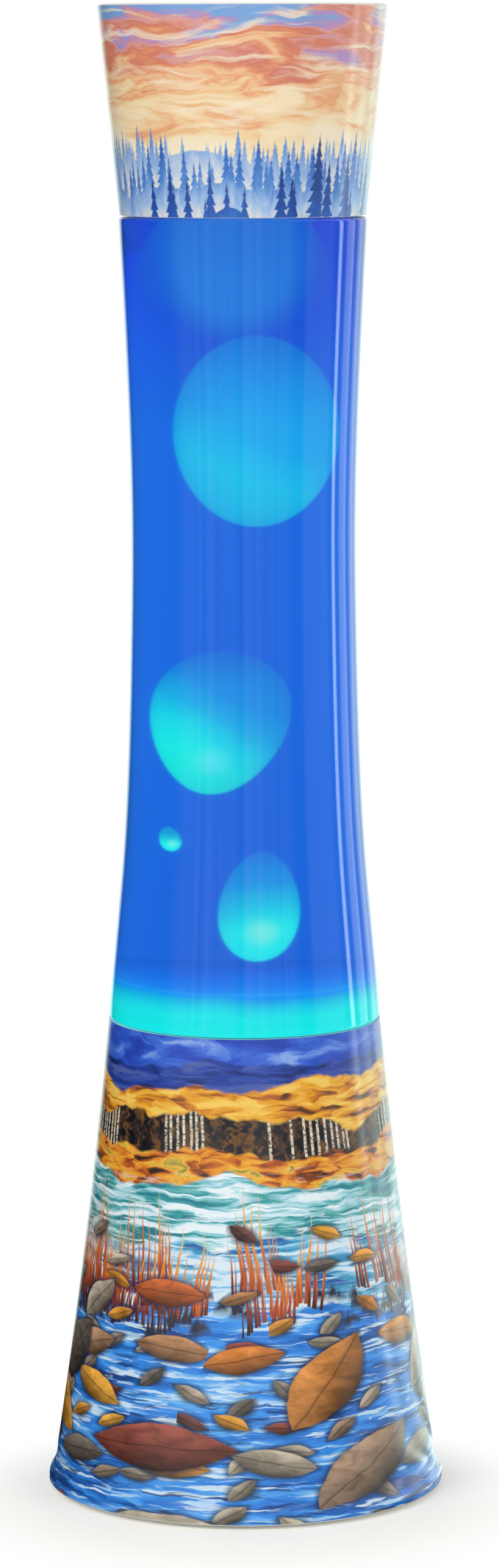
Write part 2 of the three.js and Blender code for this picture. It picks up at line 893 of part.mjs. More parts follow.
function waxPool() {
  const low = cavityZ + fitGap;
  const grooveTop = cavityZ + seatGap + 2 * coilWireRadius + fitGap;
  const rise = cavityOutline.filter(([, z]) => z > cavityZ && z < poolTopZ);
  return turned([
    [0, low],
    [coilRingRadius - coilWireRadius - fitGap, low],
    [coilRingRadius - coilWireRadius - fitGap, grooveTop],
    [coilRingRadius + coilWireRadius + fitGap, grooveTop],
    [coilRingRadius + coilWireRadius + fitGap, low],
    [footInside - footCorner - fitGap, low],
    ...inset(rise, fitGap),
    [radiusAt(cavityOutline, poolTopZ) - fitGap, poolTopZ],
    [0, poolTopZ + poolDome],
  ]);
}

function blobCentre([xShare, yShare, zShare]) {
  return { x: xShare * waistInside, y: yShare * waistInside, z: stepZ + zShare * bodyHeight };
}

// One blob of wax, or the pocket round it when it is grown by a gap.
function blob({ centreShares, halfShares, swellShare = 0, tiltAngle = 0 }, grown) {
  const { x, y, z } = blobCentre(centreShares);
  const [halfWidth, halfHeight] = [halfShares[0] * waistInside, halfShares[1] * bodyHeight];
  const shape = new THREE.SphereGeometry(1, blobSteps, blobRings).rotateX(Math.PI / 2);
  const place = shape.attributes.position;
  for (let i = 0; i < place.count; i += 1) {
    const width = 1 + swellShare * place.getZ(i);
    place.setXY(i, place.getX(i) * width, place.getY(i) * width);
  }
  return shape
    .scale(halfWidth + grown, halfWidth + grown, halfHeight + grown)
    .rotateY(THREE.MathUtils.degToRad(tiltAngle))
    .translate(x, y, z);
}

// The liquid fills the bottle over the pool. A thin path runs up from each blob to the surface, so
// that no blob shuts off a hollow.
function motionLiquid() {
  const low = poolTopZ + poolDome + fitGap;
  const high = shoulderZ + liquidRise;
  const fill = turned([[0, low], ...inset(stretch(cavityOutline, low, high), fitGap), [0, high]]);
  const blobs = Object.values(blobShares);
  const pockets = blobs.map((shares) => blob(shares, fitGap));
  const paths = blobs.map(({ centreShares }) => {
    const { x, y, z } = blobCentre(centreShares);
    return disc(ventRadius, z, high + cutOverrun).translate(x, y, 0);
  });
  return cut(fill, [...pockets, ...paths]);
}

function buildBottle() {
  const bottle = new THREE.Group();
  addPart(bottle, "glass_bottle", glassBottle(), glass);
  addPart(bottle, "motion_liquid", motionLiquid(), liquid);
  addPart(bottle, "wax_pool", waxPool(), wax);
  Object.entries(blobShares).forEach(([name, shares]) => {
    addPart(bottle, name, blob(shares, 0), wax);
  });
  const coil = new THREE.TorusGeometry(coilRingRadius, coilWireRadius, coilSides, coilSteps);
  const ring = addPart(bottle, "heating_coil", coil, steel);
  ring.position.z = cavityZ + seatGap + coilWireRadius;
  addPart(
    bottle,
    "crown_liner",
    disc(linerRadius, neckTopZ + seatGap, neckTopZ + seatGap + linerThickness, bulbFlats),
    foam,
  );
  addPart(bottle, "crown_cap", crownCap(), steel);
  return bottle;
}

const capOutline = [
  [capRimRadius, capRimZ],
  [capTopRadius, capTopZ],
];
const capInside = inset(capOutline, filmDepth + capWall);
const discTopZ = capTopZ - discRecess;
const discZ = discTopZ - discThickness;

function capShell() {
  const outside = inset(capOutline, filmDepth);
  const ledgeTop = discZ - seatGap;
  const ledgeLow = ledgeTop - discLedge;
  return turnedRing([
    [radiusAt(capInside, capRimZ), capRimZ],
    ...outside,
    [radiusAt(capInside, capTopZ), capTopZ],
    [radiusAt(capInside, ledgeTop), ledgeTop],
    [radiusAt(capInside, ledgeTop) - discLedge, ledgeTop],
    [radiusAt(capInside, ledgeLow) - discLedge, ledgeLow],
    [radiusAt(capInside, ledgeLow - discLedge), ledgeLow - discLedge],
  ]);
}

function capFilm() {
  const outside = stretch(capOutline, capRimZ + capFilmLift, capTopZ - capFilmDrop);
  return turnedRing([...outside, ...downwards(inset(outside, filmThickness))]);
}

function centringRing() {
  const low = capRimZ + ringLift;
  const high = low + ringHeight;
  return turnedRing([
    [radiusAt(capInside, low) - seatGap, low],
    [radiusAt(capInside, high) - seatGap, high],
    ...downwards(inset(stretch(shoulderOutside, low, high), -fitGap)),
  ]);
}

function topDisc() {
  return turned([
    [0, discZ],
    [radiusAt(capInside, discZ) - seatGap, discZ],
    [radiusAt(capInside, discTopZ) - seatGap, discTopZ],
    [0, discTopZ],
  ]);
}

function buildCap() {
  const cap = new THREE.Group();
  addPart(cap, "cap_shell", capShell(), abs);
  addPart(cap, "cap_print_film", capFilm(), capPrint);
  addPart(cap, "cap_top_disc", topDisc(), abs);
  addPart(cap, "cap_centring_ring", centringRing(), foam);
  return cap;
}

const lamp = new THREE.Group();
lamp.add(buildBase(), buildLampholder(), buildBulb(), buildBottle(), buildCap());

export default lamp;
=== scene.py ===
"""Liquid motion lamp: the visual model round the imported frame, with its studio.

The frame holds every solid of the lamp. The classes here build the smooth, finely finished pieces
that stand for those solids: the printed base, the bulb with its holder, the bottle with its liquid
and wax, and the printed cap. Lengths are in millimetres until a mesh or a node takes them.
"""

from __future__ import annotations

import logging
import math
from collections.abc import Callable, Sequence
from dataclasses import dataclass
from enum import Enum
from functools import cache, partial
from typing import Any, ClassVar, NamedTuple

import bmesh
import bpy
from mathutils import Matrix, Vector


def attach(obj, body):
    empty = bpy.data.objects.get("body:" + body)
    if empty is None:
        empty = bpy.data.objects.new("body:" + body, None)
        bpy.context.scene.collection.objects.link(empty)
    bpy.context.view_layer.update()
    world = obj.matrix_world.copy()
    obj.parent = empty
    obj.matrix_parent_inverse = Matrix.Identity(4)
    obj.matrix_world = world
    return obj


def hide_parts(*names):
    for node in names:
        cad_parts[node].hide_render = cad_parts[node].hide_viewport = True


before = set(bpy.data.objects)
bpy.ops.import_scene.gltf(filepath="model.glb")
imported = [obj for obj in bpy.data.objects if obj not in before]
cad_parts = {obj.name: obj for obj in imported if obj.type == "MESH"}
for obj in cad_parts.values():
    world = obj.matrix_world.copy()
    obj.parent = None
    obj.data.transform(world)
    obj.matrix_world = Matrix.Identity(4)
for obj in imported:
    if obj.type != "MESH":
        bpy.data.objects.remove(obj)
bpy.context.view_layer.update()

log = logging.getLogger("motion_lamp")

MM = 0.001
TURN_SEGMENTS = 160

Socket = bpy.types.NodeSocket
Piece = bpy.types.Object
Add = Callable[..., Socket]
Line = Sequence[tuple[float, ...]]
Spot = Sequence[float]
Stops = Sequence[tuple[float, Any]]


class Body(Enum):
    """The bodies of the frame that pieces ride on."""

    BASE = "base"
    BULB = "bulb"
    BOTTLE = "bottle"
    CAP = "cap"


class Tool(Enum):
    """What a tool does to a piece."""

    CUT = "DIFFERENCE"
    JOIN = "UNION"


class Fold(Enum):
    """What a rounding takes off."""

    EDGES = "EDGES"
    CORNERS = "VERTICES"


def linear(code: str) -> tuple[float, ...]:
    """Turns an sRGB hex colour into the linear RGBA that nodes take."""
    shares = [int(code[i : i + 2], 16) / 255 for i in (1, 3, 5)]
    return (*((s / 12.92 if s <= 0.04045 else ((s + 0.055) / 1.055) ** 2.4) for s in shares), 1.0)


def feed(node: bpy.types.Node, *values: Any, **settings: Any) -> None:
    """Gives a node its settings and links.

    Args:
        node: The node.
        values: What its live sockets take, in order: a link, a number, a vector or a hex colour.
        settings: Its own properties, its sockets by name, with _ for a space, or a ramp's stops.
    """
    stops = settings.pop("stops", ())
    for key in [key for key in settings if hasattr(node, key)]:
        setattr(node, key, settings.pop(key))
    live = [socket for socket in node.inputs if socket.enabled]
    named = [(node.inputs[key.replace("_", " ")], value) for key, value in settings.items()]
    for socket, value in [*zip(live, values), *named]:
        if isinstance(value, Socket):
            node.id_data.links.new(value, socket)
        else:
            socket.default_value = linear(value) if isinstance(value, str) else value
    if stops:
        elements = node.color_ramp.elements
        while len(elements) < len(stops):
            elements.new(1.0)
        for element, (place, colour) in zip(elements, stops):
            element.position = place
            element.color = linear(colour) if isinstance(colour, str) else colour


def add_node(
    tree: bpy.types.NodeTree, kind: str, *values: Any, out: str = "", **settings: Any
) -> Socket:
    """Adds a node with its settings and links.

    Args:
        tree: The tree that takes it.
        kind: Its type without "ShaderNode", and after a dot its operation or data type.
        values: What its live sockets take, in order.
        out: The output to hand back, or else the first live one.
        settings: Its settings, as feed takes them.

    Returns:
        The output, if the node has one.
    """
    kind, _, mode = kind.partition(".")
    node = tree.nodes.new(f"ShaderNode{kind}")
    if mode:
        setattr(node, "data_type" if kind == "Mix" else "operation", mode)
    feed(node, *values, **settings)
    return node.outputs[out] if out else next((s for s in node.outputs if s.enabled), None)


def cleared(owner: bpy.types.ID) -> Add:
    """Clears the nodes of a material or world.

    Args:
        owner: The material or world.

    Returns:
        What adds a node to it.
    """
    owner.use_nodes = True
    owner.node_tree.nodes.clear()
    return partial(add_node, owner.node_tree)


def bearing(add: Add, place: Socket) -> Socket:
    """The angle of a place round the lamp's axis, from the front, in radians."""
    x, y, _ = add("SeparateXYZ", place).node.outputs
    return add("Math.ARCTAN2", x, add("Math.MULTIPLY", y, -1.0))


def curve_through(points: Line, steps: int) -> Line:
    """Draws a line through points that bends evenly, as a natural cubic spline up the lamp.

    Args:
        points: The points to pass through, as radius and height, upwards.
        steps: How many straight steps lie between two neighbouring points.

    Returns:
        The points of the smooth line, ends included.
    """
    gaps = [high[1] - low[1] for low, high in zip(points, points[1:])]
    grades = [(high[0] - low[0]) / gap for low, high, gap in zip(points, points[1:], gaps)]
    shares, pulls = [0.0], [0.0]
    for i in range(1, len(gaps)):
        weight = 2 * (gaps[i - 1] + gaps[i]) - gaps[i - 1] * shares[-1]
        shares.append(gaps[i] / weight)
        pulls.append((6 * (grades[i] - grades[i - 1]) - gaps[i - 1] * pulls[-1]) / weight)
    bends = [0.0] * len(points)
    for i in range(len(gaps) - 1, 0, -1):
        bends[i] = pulls[i] - shares[i] * bends[i + 1]
    drawn = []
    for i, gap in enumerate(gaps):
        for up in (gap * step / steps for step in range(steps)):
            left = gap - up
            radius = (bends[i] * left**3 + bends[i + 1] * up**3) / (6 * gap)
            radius += (points[i][0] / gap - bends[i] * gap / 6) * left
            radius += (points[i + 1][0] / gap - bends[i + 1] * gap / 6) * up
            drawn.append((radius, points[i][1] + up))
    return [*drawn, points[-1]]


def levels(low: float, high: float, step: float) -> list[float]:
    """Levels from low to high, both included, about a step apart."""
    count = max(1, round((high - low) / step))
    return [low + (high - low) * i / count for i in range(count + 1)]


def around(count: int, radius: float, first: float = 0.0) -> Line:
    """Places at equal angles on a circle, each as X, Y and its angle in degrees."""
    angles = [(math.radians(a), a) for a in (first + 360 * i / count for i in range(count))]
    return [(radius * math.cos(turned), radius * math.sin(turned), a) for turned, a in angles]


def at(x: float = 0.0, y: float = 0.0, z: float = 0.0) -> Matrix:
    """The move from the origin to a place in mm."""
    return Matrix.Translation(Vector((x, y, z)) * MM)


def shade(mesh: bpy.types.Mesh) -> None:
    """Shades a mesh smooth but for its sharp folds."""
    mesh.shade_smooth()
    mesh.set_sharp_from_angle(angle=math.radians(35))


def linked(name: str, data: bpy.types.ID) -> Piece:
    """Makes an object that shows some data.

    Args:
        name: The new object's name.
        data: Its mesh, curve, camera or light.

    Returns:
        The object, linked to the scene.
    """
    made = bpy.data.objects.new(name, data)
    bpy.context.scene.collection.objects.link(made)
    return made


def object_from(name: str, built: bmesh.types.BMesh) -> Piece:
    """Makes a finished object of a bmesh and frees it.

    Args:
        name: The new object's name.
        built: The bmesh, in metres and in place.

    Returns:
        The object, at the origin.
    """
    mesh = bpy.data.meshes.new(name)
    built.to_mesh(mesh)
    built.free()
    shade(mesh)
    return linked(name, mesh)


def evaluated(piece: Piece) -> bpy.types.Mesh:
    """The mesh that an object has once its modifiers or its curve's settings are applied."""
    ready = piece.evaluated_get(bpy.context.evaluated_depsgraph_get())
    return bpy.data.meshes.new_from_object(ready)


def bevel(
    built: bmesh.types.BMesh, geom: list, offset: float, segments: int, fold: Fold = Fold.EDGES
) -> None:
    """Rounds edges or corners.

    Args:
        built: The bmesh.
        geom: Its edges or vertices.
        offset: How far they are rounded, in mm.
        segments: The steps of a rounding.
        fold: Which of the two they are.
    """
    bmesh.ops.bevel(
        built,
        geom=geom,
        offset=offset * MM,
        segments=segments,
        profile=0.5,
        affect=fold.value,
        material=-1,
    )


def thicken(built: bmesh.types.BMesh, way: Spot) -> None:
    """Draws a bmesh's one face out to a solid.

    Args:
        built: The bmesh.
        way: How far and which way, in mm.
    """
    grown = bmesh.ops.extrude_face_region(built, geom=built.faces[:])
    far = [part for part in grown["geom"] if isinstance(part, bmesh.types.BMVert)]
    bmesh.ops.translate(built, vec=[v * MM for v in way], verts=far)


def turn(name: str, profile: Line, closed: bool = True, segments: int = TURN_SEGMENTS) -> Piece:
    """Turns a profile about the lamp's axis.

    Args:
        name: The new object's name.
        profile: Its corners in order, as radius, height and, for a rounded one, how far.
        closed: Whether the last corner joins the first, as round a ring.
        segments: Flats round the turned piece.

    Returns:
        The turned object.
    """
    built = bmesh.new()
    corners = [built.verts.new((p[0] * MM, 0.0, p[1] * MM)) for p in profile]
    for ends in zip(corners, corners[1:] + corners[: int(closed)]):
        built.edges.new(ends)
    for rounding in sorted({p[2] for p in profile if len(p) > 2}):
        group = [v for v, p in zip(corners, profile) if p[2:] == (rounding,)]
        bevel(built, group, rounding, 5, Fold.CORNERS)
    bmesh.ops.spin(
        built,
        geom=built.verts[:] + built.edges[:],
        axis=(0.0, 0.0, 1.0),
        cent=(0.0, 0.0, 0.0),
        angle=math.tau,
        steps=segments,
        use_merge=True,
    )
    bmesh.ops.remove_doubles(built, verts=built.verts[:], dist=1e-7)
    bmesh.ops.recalc_face_normals(built, faces=built.faces[:])
    return object_from(name, built)


def moved(piece: Piece, place: Matrix) -> Piece:
    """Moves a piece within its mesh, so that its object stays at the origin."""
    piece.data.transform(place)
    return piece


def gathered(name: str, pieces: Sequence[Piece]) -> Piece:
    """Gathers pieces that don't touch in one mesh, and removes them.

    Args:
        name: The new object's name.
        pieces: The pieces.

    Returns:
        The one object.
    """
    built = bmesh.new()
    for piece in pieces:
        built.from_mesh(piece.data)
        bpy.data.objects.remove(piece)
    return object_from(name, built)


def shape(piece: Piece, how: Tool, *tools: Piece) -> None:
    """Cuts tools from a piece, or joins them on, and removes them.

    Args:
        piece: The piece, which gets the new mesh.
        how: What the tools do.
        tools: The tools, which don't touch each other.
    """
    tool = gathered("tool", tools)
    modifier = piece.modifiers.new(how.value.lower(), "BOOLEAN")
    modifier.operation = how.value
    modifier.solver = "EXACT"
    modifier.object = tool
    mesh = evaluated(piece)
    piece.modifiers.clear()
    piece.data = mesh
    shade(mesh)
    bpy.data.objects.remove(tool)


def rod(radius: float, start: Spot, end: Spot) -> Piece:
    """Makes a plain rod between two points, as a tool or a core.

    Args:
        radius: The rod's radius in mm.
        start: One end, in mm.
        end: The other end, in mm.

    Returns:
        The rod.
    """
    built = bmesh.new()
    start, end = Vector(start), Vector(end)
    turned = (end - start).to_track_quat("Z", "Y").to_matrix().to_4x4()
    bmesh.ops.create_cone(
        built,
        cap_ends=True,
        segments=48,
        radius1=radius * MM,
        radius2=radius * MM,
        depth=(end - start).length * MM,
        matrix=Matrix.Translation((start + end) / 2 * MM) @ turned,
    )
    return object_from("rod", built)


def block(name: str, low: Spot, high: Spot, rounding: float) -> Piece:
    """Makes a block with rounded edges between two corners.

    Args:
        name: The new object's name.
        low: Its lowest corner in mm.
        high: Its highest corner in mm.
        rounding: How far its edges are rounded, in mm.

    Returns:
        The block.
    """
    built = bmesh.new()
    middle, size = (Vector(high) + Vector(low)) / 2, Vector(high) - Vector(low)
    bmesh.ops.create_cube(built, size=MM, matrix=Matrix.LocRotScale(middle * MM, None, size))
    bevel(built, built.edges[:], rounding, 3)
    return object_from(name, built)


def strip(name: str, side: Line, low_z: float, half: float, rounding: float) -> Piece:
    """Makes a bent strip from its side view.

    Args:
        name: The new object's name.
        side: The corners of its side view, as X and Z in mm.
        low_z: The height of the side view's zero in mm.
        half: Half the strip's width, along Y, in mm.
        rounding: How far its edges are rounded, in mm.

    Returns:
        The strip.
    """
    built = bmesh.new()
    corners = [built.verts.new((x * MM, -half * MM, (low_z + z) * MM)) for x, z in side]
    built.faces.new(corners)
    thicken(built, (0.0, 2 * half, 0.0))
    bevel(built, built.edges[:], rounding, 2)
    bmesh.ops.recalc_face_normals(built, faces=built.faces[:])
    return object_from(name, built)


def slot_tool(length: float, width: float, low: float, high: float, place: Matrix) -> Piece:
    """Makes a slot's shape with round ends, as a tool.

    Args:
        length: The slot's length in mm.
        width: Its width in mm.
        low: Its lowest level in mm.
        high: Its highest level in mm.
        place: Where the slot goes, its length along X.

    Returns:
        The tool.
    """
    built = bmesh.new()
    bmesh.ops.create_circle(built, cap_ends=True, segments=30, radius=width / 2 * MM)
    for vert in built.verts:
        vert.co.x += math.copysign((length - width) / 2 * MM, vert.co.x)
        vert.co.z = low * MM
    thicken(built, (0.0, 0.0, high - low))
    bmesh.ops.recalc_face_normals(built, faces=built.faces[:])
    return moved(object_from("slot", built), place)


def wire(name: str, points: Line, radius: float, ring: bool = False) -> Piece:
    """Draws a round wire along points.

    Args:
        name: The new object's name.
        points: The points in mm.
        radius: The wire's radius in mm.
        ring: Whether its end joins its start.

    Returns:
        The wire.
    """
    curve = bpy.data.curves.new(name, "CURVE")
    curve.dimensions = "3D"
    curve.bevel_depth = radius * MM
    curve.bevel_resolution = 2
    curve.use_fill_caps = True
    line = curve.splines.new("POLY")
    line.points.add(len(points) - 1)
    for knot, place in zip(line.points, points):
        knot.co = (*(v * MM for v in place), 1.0)
    line.use_cyclic_u = ring
    drawn = linked(name, curve)
    built = bmesh.new()
    built.from_mesh(evaluated(drawn))
    bpy.data.objects.remove(drawn)
    bmesh.ops.recalc_face_normals(built, faces=built.faces[:])
    return object_from(name, built)


def wind_thread(piece: Piece, low: float, high: float, pitch: float, depth: float) -> None:
    """Winds a thread into a turned piece, by moving its surface in and out along a helix.

    Args:
        piece: The piece, turned about the lamp's axis.
        low: The thread's lowest level in mm.
        high: Its highest level in mm.
        pitch: Its rise in one turn, in mm.
        depth: Its depth in mm.
    """
    for vert in piece.data.vertices:
        x, y, z = vert.co / MM
        if low < z < high and (x or y):
            ease = min(1.0, (z - low) / pitch, (high - z) / pitch)
            wave = math.cos(math.tau * z / pitch - math.atan2(y, x))
            vert.co.xy *= 1 + ease * depth / 2 * wave / math.hypot(x, y)


def pan_screw(name: str, length: float, place: Matrix) -> Piece:
    """Makes a pan-head screw with a cross recess.

    Args:
        name: The new object's name.
        length: The shank's length in mm.
        place: Where it goes; before that it points up, and its shank starts at zero.

    Returns:
        The screw.
    """
    shank = [(1.05, z) for z in levels(0.0, length - 0.6, 0.125)]
    head = [(0.0, -1.4), (2.6, -1.4, 0.8), (2.6, 0.0, 0.1)]
    screw = turn(name, [*head, *shank, (0.4, length), (0.0, length)], closed=False, segments=32)
    wind_thread(screw, 0.2, length - 0.3, 1.0, 0.3)
    for x, y in ((1.6, 0.35), (0.35, 1.6)):
        shape(screw, Tool.CUT, block("arm", (-x, -y, -1.6), (x, y, -0.6), 0.05))
    return moved(screw, place)


# Finishes


@dataclass(frozen=True)
class Finish:
    """A plain finish with a fine surface: the base of the other finishes. Lengths are in mm.

    The grain breaks the light up a little, as a tool's spark-eroded face or a drawn sheet does.
    """

    name: str
    colour: str
    roughness: float
    metallic: float = 0.0
    grain: float = 0.5
    relief: float = 0.01
    mottle: float = 0.06
    ior: float = 1.5

    def material(self) -> bpy.types.Material:
        """Builds the finish's material."""
        material = bpy.data.materials.new(self.name)
        add = cleared(material)
        face = add("BsdfPrincipled", Roughness=self.roughness, Metallic=self.metallic, IOR=self.ior)
        add("OutputMaterial", face)
        self.dress(add, face.node, add("TexCoord", out="Object"))
        return material

    def dress(self, add: Add, shader: bpy.types.Node, place: Socket) -> None:
        """Adds the colour's mottle and the surface's grain.

        Args:
            add: What adds a node to the material.
            shader: Its Principled shader.
            place: The Object coordinates.
        """
        patches = add("TexNoise", place, 0.12 / MM, 3.0, 0.6)
        light = linear(self.colour)
        dark = (*(v * (1 - self.mottle) for v in light[:3]), 1.0)
        low, high = self.roughness * 0.88, self.roughness * 1.12
        grain = add("TexNoise", place, 1 / (self.grain * MM), 2.0, 0.5)
        feed(
            shader,
            Base_Color=add("Mix.RGBA", patches, dark, light),
            Roughness=add("MapRange", patches, 0.3, 0.7, low, high),
            Normal=add("Bump", Height=grain, Strength=0.35, Distance=self.relief * MM),
        )


# Shared finishes, by the record's material slot
FINISHES = {
    # Moulded ABS, clean white with a soft sheen
    "abs_white": Finish("moulded_white_abs", "#F2F0EA", 0.32, grain=0.6, mottle=0.03),
    # Pressed phenolic, warmer and duller than the shell
    "holder_plastic": Finish("moulded_phenolic", "#ECE8DE", 0.45, grain=0.4),
    # Moulded rubber, nearly black and dull
    "rubber_black": Finish("moulded_rubber", "#26282B", 0.75, grain=0.4, relief=0.02),
    # Foam with an open, chalky face
    "foam": Finish("closed_cell_foam", "#D8D8D4", 0.95, grain=0.5, relief=0.15, mottle=0.12),
    # Zinc plate, cool and a little cloudy
    "steel": Finish("zinc_plated_steel", "#B9BCC0", 0.32, 1.0, grain=0.25, mottle=0.1),
    # Drawn brass, yellow with a worn shine
    "brass": Finish("drawn_brass", "#C9A45A", 0.3, 1.0, grain=0.25, mottle=0.12),
    # Black glass, wet and deep
    "insulator_glass": Finish("black_vitrite", "#17171A", 0.15, grain=0.8),
    # Etched glass, milky and soft
    "bulb_glass": Finish("frosted_bulb_glass", "#E6E6E2", 0.4, grain=0.3),
    # Drawn wire, dark grey metal
    "tungsten": Finish("drawn_tungsten", "#5C5A58", 0.5, 1.0, grain=0.1),
    # Extruded PVC sleeves, plain colour with a dull sheen
    "sleeve_brown": Finish("extruded_pvc_brown", "#7A4A2A", 0.5, grain=0.3),
    "sleeve_blue": Finish("extruded_pvc_blue", "#2C62B0", 0.5, grain=0.3),
}


@cache
def shared(slot: str) -> bpy.types.Material:
    """The material that the pieces of a slot share, made when it is first asked for."""
    return FINISHES[slot].material()


@dataclass(frozen=True)
class ClearGlass(Finish):
    """Pressed soda-lime glass: clear, hard and bright.

    Where liquid wets it, next to nothing shines back from its face, so its shine is black there.
    """

    shine: str = "#FFFFFF"

    def dress(self, add: Add, shader: bpy.types.Node, place: Socket) -> None:
        """Makes the shader clear."""
        feed(shader, Base_Color=self.colour, Transmission_Weight=1.0, Specular_Tint=self.shine)


@dataclass(frozen=True)
class DyedLiquid(ClearGlass):
    """Dyed water: it swallows red within a few millimetres and lets blue through.

    Its depth of colour comes from the length of the light's path, so the middle of the bottle is a
    deeper blue than its edges. The bulb's light in the liquid is painted as an emission glow:
    greener just over the pool, even up the bottle and darker towards the top.
    """

    shine: str = "#000000"
    path: float = 10.0
    dye: str = "#38D0F7"
    # Painted light: the bulb's glow in the liquid, as emission colours by height in mm
    painted_haze: Stops = (
        (139.4, "#1D8660"), (141.0, "#1D6C5A"), (144.0, "#1D6156"), (148.0, "#1D5C55"),
        (290.0, "#1D5C55"), (345.0, "#1D2A2A"),
    )

    def dress(self, add: Add, shader: bpy.types.Node, place: Socket) -> None:
        """Makes the liquid clear, and gives it its dye and the painted glow of the bulb's light.

        Args:
            add: What adds a node to the material.
            shader: Its Principled shader.
            place: The Object coordinates.
        """
        super().dress(add, shader, place)
        low, high = self.painted_haze[0][0], self.painted_haze[-1][0]
        share = add("MapRange", add("SeparateXYZ", place, out="Z"), low * MM, high * MM)
        stops = [((z - low) / (high - low), code) for z, code in self.painted_haze]
        # Painted glow: this emission stands in for the bulb's light in the liquid
        feed(shader, Emission_Color=add("ValToRGB", share, stops=stops), Emission_Strength=1.0)
        dyed = add("VolumeAbsorption", self.dye, 1 / (self.path * MM))
        feed(shader.id_data.nodes["Material Output"], Volume=dyed)


@dataclass(frozen=True)
class LitWax(Finish):
    """Soft dyed paraffin wax, lit from the bulb below it.

    Its light from the bulb is painted as an emission glow: brightest at its underside and towards
    one side, sinking into the liquid's blue above.
    A spot, a painted hot spot of light, holds a place and a reach. A melt holds the middle's X and
    Z and the half sizes.
    """

    low: float = 0.0
    high: float = 1.0
    middle: float = 0.0
    stops: Stops = ()
    # lean: how far the painted glow leans towards one side
    lean: float = 0.0
    strength: float = 1.0
    clear: Spot = (1.0, 1.4)
    solid: float = 1.0
    # spot: a painted hot spot of light, as X, Y, Z and its reach in mm
    spot: Spot = ()
    painted_hot_spot_colour: str = "#FFFF7C"
    melt: Spot = ()

    def dress(self, add: Add, shader: bpy.types.Node, place: Socket) -> None:
        """Adds the painted glow of the bulb's light up the wax, lets its top fade out and melts its
        outline.

        Args:
            add: What adds a node to the material.
            shader: Its Principled shader.
            place: The Object coordinates.
        """
        x, _, z = add("SeparateXYZ", place).node.outputs
        rise = add("MapRange", z, self.low * MM, self.high * MM, clamp=False)
        aside = add("Math.MULTIPLY_ADD", x, self.lean / (20 * MM), -self.lean * self.middle / 20)
        cloud = add("TexNoise", place, 0.05 / MM, 2.0)
        drift = add("Math.MULTIPLY_ADD", cloud, 0.24, -0.12)
        share = add("Math.ADD", add("Math.ADD", rise, aside), drift)
        # Painted glow: emission that stands in for the bulb's light, brightest at the underside
        painted_glow = add("ValToRGB", share, stops=self.stops)
        # Painted hot spot: a brighter patch of light mixed into the glow near the underside
        if self.spot:
            *centre, reach = (v * MM for v in self.spot)
            away = add("VectorMath.DISTANCE", place, centre)
            soft = {"interpolation_type": "SMOOTHERSTEP"}
            near = add("MapRange", away, 0.0, reach, 0.8, 0.0, **soft)
            painted_glow = add("Mix.RGBA", near, painted_glow, self.painted_hot_spot_colour)
        soft = {"interpolation_type": "SMOOTHSTEP"}
        solid = add("MapRange", rise, *self.clear, self.solid, 0.0, **soft)
        if self.melt:
            x, z, half_x, half_z = (v * MM for v in self.melt)
            sizes = {"Location": (x, 0.0, z), "Scale": (half_x, 1.0, half_z)}
            shares = add("Mapping", place, vector_type="TEXTURE", **sizes)
            melted = add("MapRange", add("VectorMath.LENGTH", shares), 1.0, 0.58, **soft)
            solid = add("Math.MULTIPLY", solid, melted)
        feed(
            shader,
            Base_Color=self.colour,
            Specular_IOR_Level=0.1,
            Emission_Color=painted_glow,
            Emission_Strength=self.strength,
            Alpha=solid,
        )


class Growth(NamedTuple):
    """A stand of pointed plants along a rolling line, such as pines or reeds, in mm."""

    level: float
    swing: float
    roll: float
    seed: float
    cell: float
    height: float
    slope: float
    paints: Stops
    jag: float = 0.0
    tier: float = 1.0
    thick: float = 100.0
    sunk: float = 200.0
    lean: float = 0.0
    share: float = 1.0
    reach: float = 14.0


class Band(NamedTuple):
    """A band of landscape below a rolling line, in mm, with its patches' size and its paints."""

    level: float
    swing: float
    roll: float
    seed: float
    size: Spot
    paints: Stops


